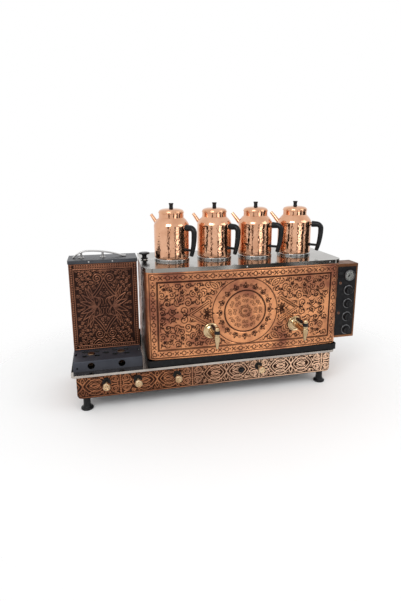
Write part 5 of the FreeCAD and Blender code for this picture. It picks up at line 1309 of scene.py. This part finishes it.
def amber_lens():
    made = Finish("amber lens", (0.09, 0.032, 0.012), 0.0, 0.25, 0.2)
    made.tint(made.use(DUST, Scale=90.0, Amount=0.2), (0.05, 0.02, 0.01))
    made.roughen(made.use(DUST, Scale=25.0, Amount=1.0), 0.2, 0.35)
    made.bump(made.use(HAMMER, Scale=700.0), 0.03, 0.3)
    return made.done()


plain = {
    "base_chassis": chassis_paint, "gas_manifold": knob_brass, "gas_valves": knob_brass,
    "water_vessel": vessel_steel, "heating_element": bright_steel, "gauge_glass": clear_glass(),
    "gauge_needle": black_matte, "indicator_lamps": amber_lens(),
}
for name, material in plain.items():
    nodes[name].data.materials.clear()
    nodes[name].data.materials.append(material)
print("plain pieces:", len(plain))

# %% [markdown]
# ## Floor, light and camera
# The stove stands on a pale floor under soft studio light. The world is white to the camera and
# to reflections. Three dark cards and a brown one, seen only in reflections, stand round the
# camera as a photographer's flags do: without them polished metal shows nothing but white.

# %% Floor and flags
def flat_card(name, corners, color, seen_by_camera=False):
    mesh = bpy.data.meshes.new(name)
    mesh.from_pydata([tuple(corner) for corner in corners], [], [(0, 1, 2, 3)])
    item = bpy.data.objects.new(name, mesh)
    bpy.context.scene.collection.objects.link(item)
    made = Finish(name, color, 0.0, 0.8)
    made.tint(made.use(DUST, Scale=3.0, Amount=0.05), tuple(c * 0.9 for c in color))
    mesh.materials.append(made.done())
    item.visible_camera = seen_by_camera
    return item, made


def flag(name, x0, x1, y0, y1, z1, color):
    """A card that only mirrors see."""
    item, _ = flat_card(name, [(x0, y0, 0), (x1, y1, 0), (x1, y1, z1), (x0, y0, z1)], color)
    item.visible_diffuse = False
    item.visible_shadow = False
    item.visible_transmission = False


flag("dark_flag", 1.05, 1.95, -2.25, -1.50, 1.3, (0.010, 0.008, 0.007))
flag("side_flag", 2.35, 2.55, -1.15, 0.50, 1.3, (0.012, 0.010, 0.009))
flag("narrow_flag", 0.30, 0.62, -2.55, -2.45, 1.3, (0.03, 0.018, 0.012))
flag("brown_flag", -1.60, -1.20, -2.0, -2.2, 1.3, (0.10, 0.05, 0.03))

FLOOR = 9.0
floor_corners = [(-FLOOR, -FLOOR, 0), (FLOOR, -FLOOR, 0), (FLOOR, FLOOR, 0), (-FLOOR, FLOOR, 0)]
_, floor_finish = flat_card("floor", floor_corners, (0.88, 0.88, 0.88), seen_by_camera=True)

# %% Fade the floor into the white
FADE_START, FADE_END = 0.62, 1.35
tree = floor_finish.tree
spot = add(tree, "TexCoord").outputs["Object"]
distance = add(tree, "VectorMath", {0: spot}, operation="LENGTH").outputs["Value"]
fade = ramp(tree, distance, FADE_START, FADE_END)
clear = add(tree, "BsdfTransparent").outputs["BSDF"]
mix = add(tree, "MixShader", {"Fac": fade, 1: floor_finish.shader.outputs["BSDF"], 2: clear})
tree.links.new(mix.outputs["Shader"], tree.nodes["Material Output"].inputs["Surface"])

# %% World and lamps
world = bpy.data.worlds.new("studio")
bpy.context.scene.world = world
world.use_nodes = True
sky = world.node_tree
sky.nodes.clear()
rays = add(sky, "LightPath").outputs
seen = add(sky, "Math", {0: rays["Is Camera Ray"], 1: rays["Is Glossy Ray"]}, operation="MAXIMUM")
through = add(sky, "Math", {0: seen.outputs[0], 1: rays["Is Transmission Ray"]}, operation="MAXIMUM")
soft, white = [add(sky, "Background", {"Color": (1, 1, 1, 1), "Strength": strength})
               for strength in (0.85, 1.0)]
choose = add(sky, "MixShader", {"Fac": through.outputs[0], 1: soft.outputs[0], 2: white.outputs[0]})
add(sky, "OutputWorld", {"Surface": choose.outputs["Shader"]})


def softbox(name, place, target, size, watts):
    lamp = bpy.data.lights.new(name, "AREA")
    lamp.shape, lamp.size, lamp.energy = "SQUARE", size, watts
    item = bpy.data.objects.new(name, lamp)
    bpy.context.scene.collection.objects.link(item)
    item.location = place
    item.rotation_euler = (Vector(target) - Vector(place)).to_track_quat("-Z", "Y").to_euler()


softbox("key", (-1.6, -2.2, 2.6), (0, 0, 0.35), 1.6, 42)
softbox("fill", (2.4, -1.6, 2.0), (0, 0, 0.35), 1.6, 16)
softbox("low fill", (0.95, -1.9, 0.55), (0.4, -0.2, 0.1), 0.7, 3.5)

# %% Camera
camera_data = bpy.data.cameras.new("camera")
camera = bpy.data.objects.new("camera", camera_data)
bpy.context.scene.collection.objects.link(camera)
bpy.context.scene.camera = camera
YAW, PITCH, ROLL = 13.68, 12.87, 0.05
PHOTO_WIDTH, PHOTO_HEIGHT, SENSOR = 401.0, 601.0, 36.0
FOCAL, CENTRE_X, CENTRE_Y = 439.64, 209.10, 272.57  # of the fitted camera, in the photo's pixels
camera.location = (-0.47398, -1.79719, 0.93725)
camera.rotation_euler = (math.radians(90 - PITCH), math.radians(ROLL), math.radians(-YAW))
camera_data.sensor_width = SENSOR
camera_data.lens = FOCAL / PHOTO_HEIGHT * SENSOR
camera_data.shift_x = (PHOTO_WIDTH / 2 - CENTRE_X) / PHOTO_HEIGHT
camera_data.shift_y = (CENTRE_Y - PHOTO_HEIGHT / 2) / PHOTO_HEIGHT
camera_data.clip_end = 50
bpy.context.scene.view_settings.view_transform = "Standard"
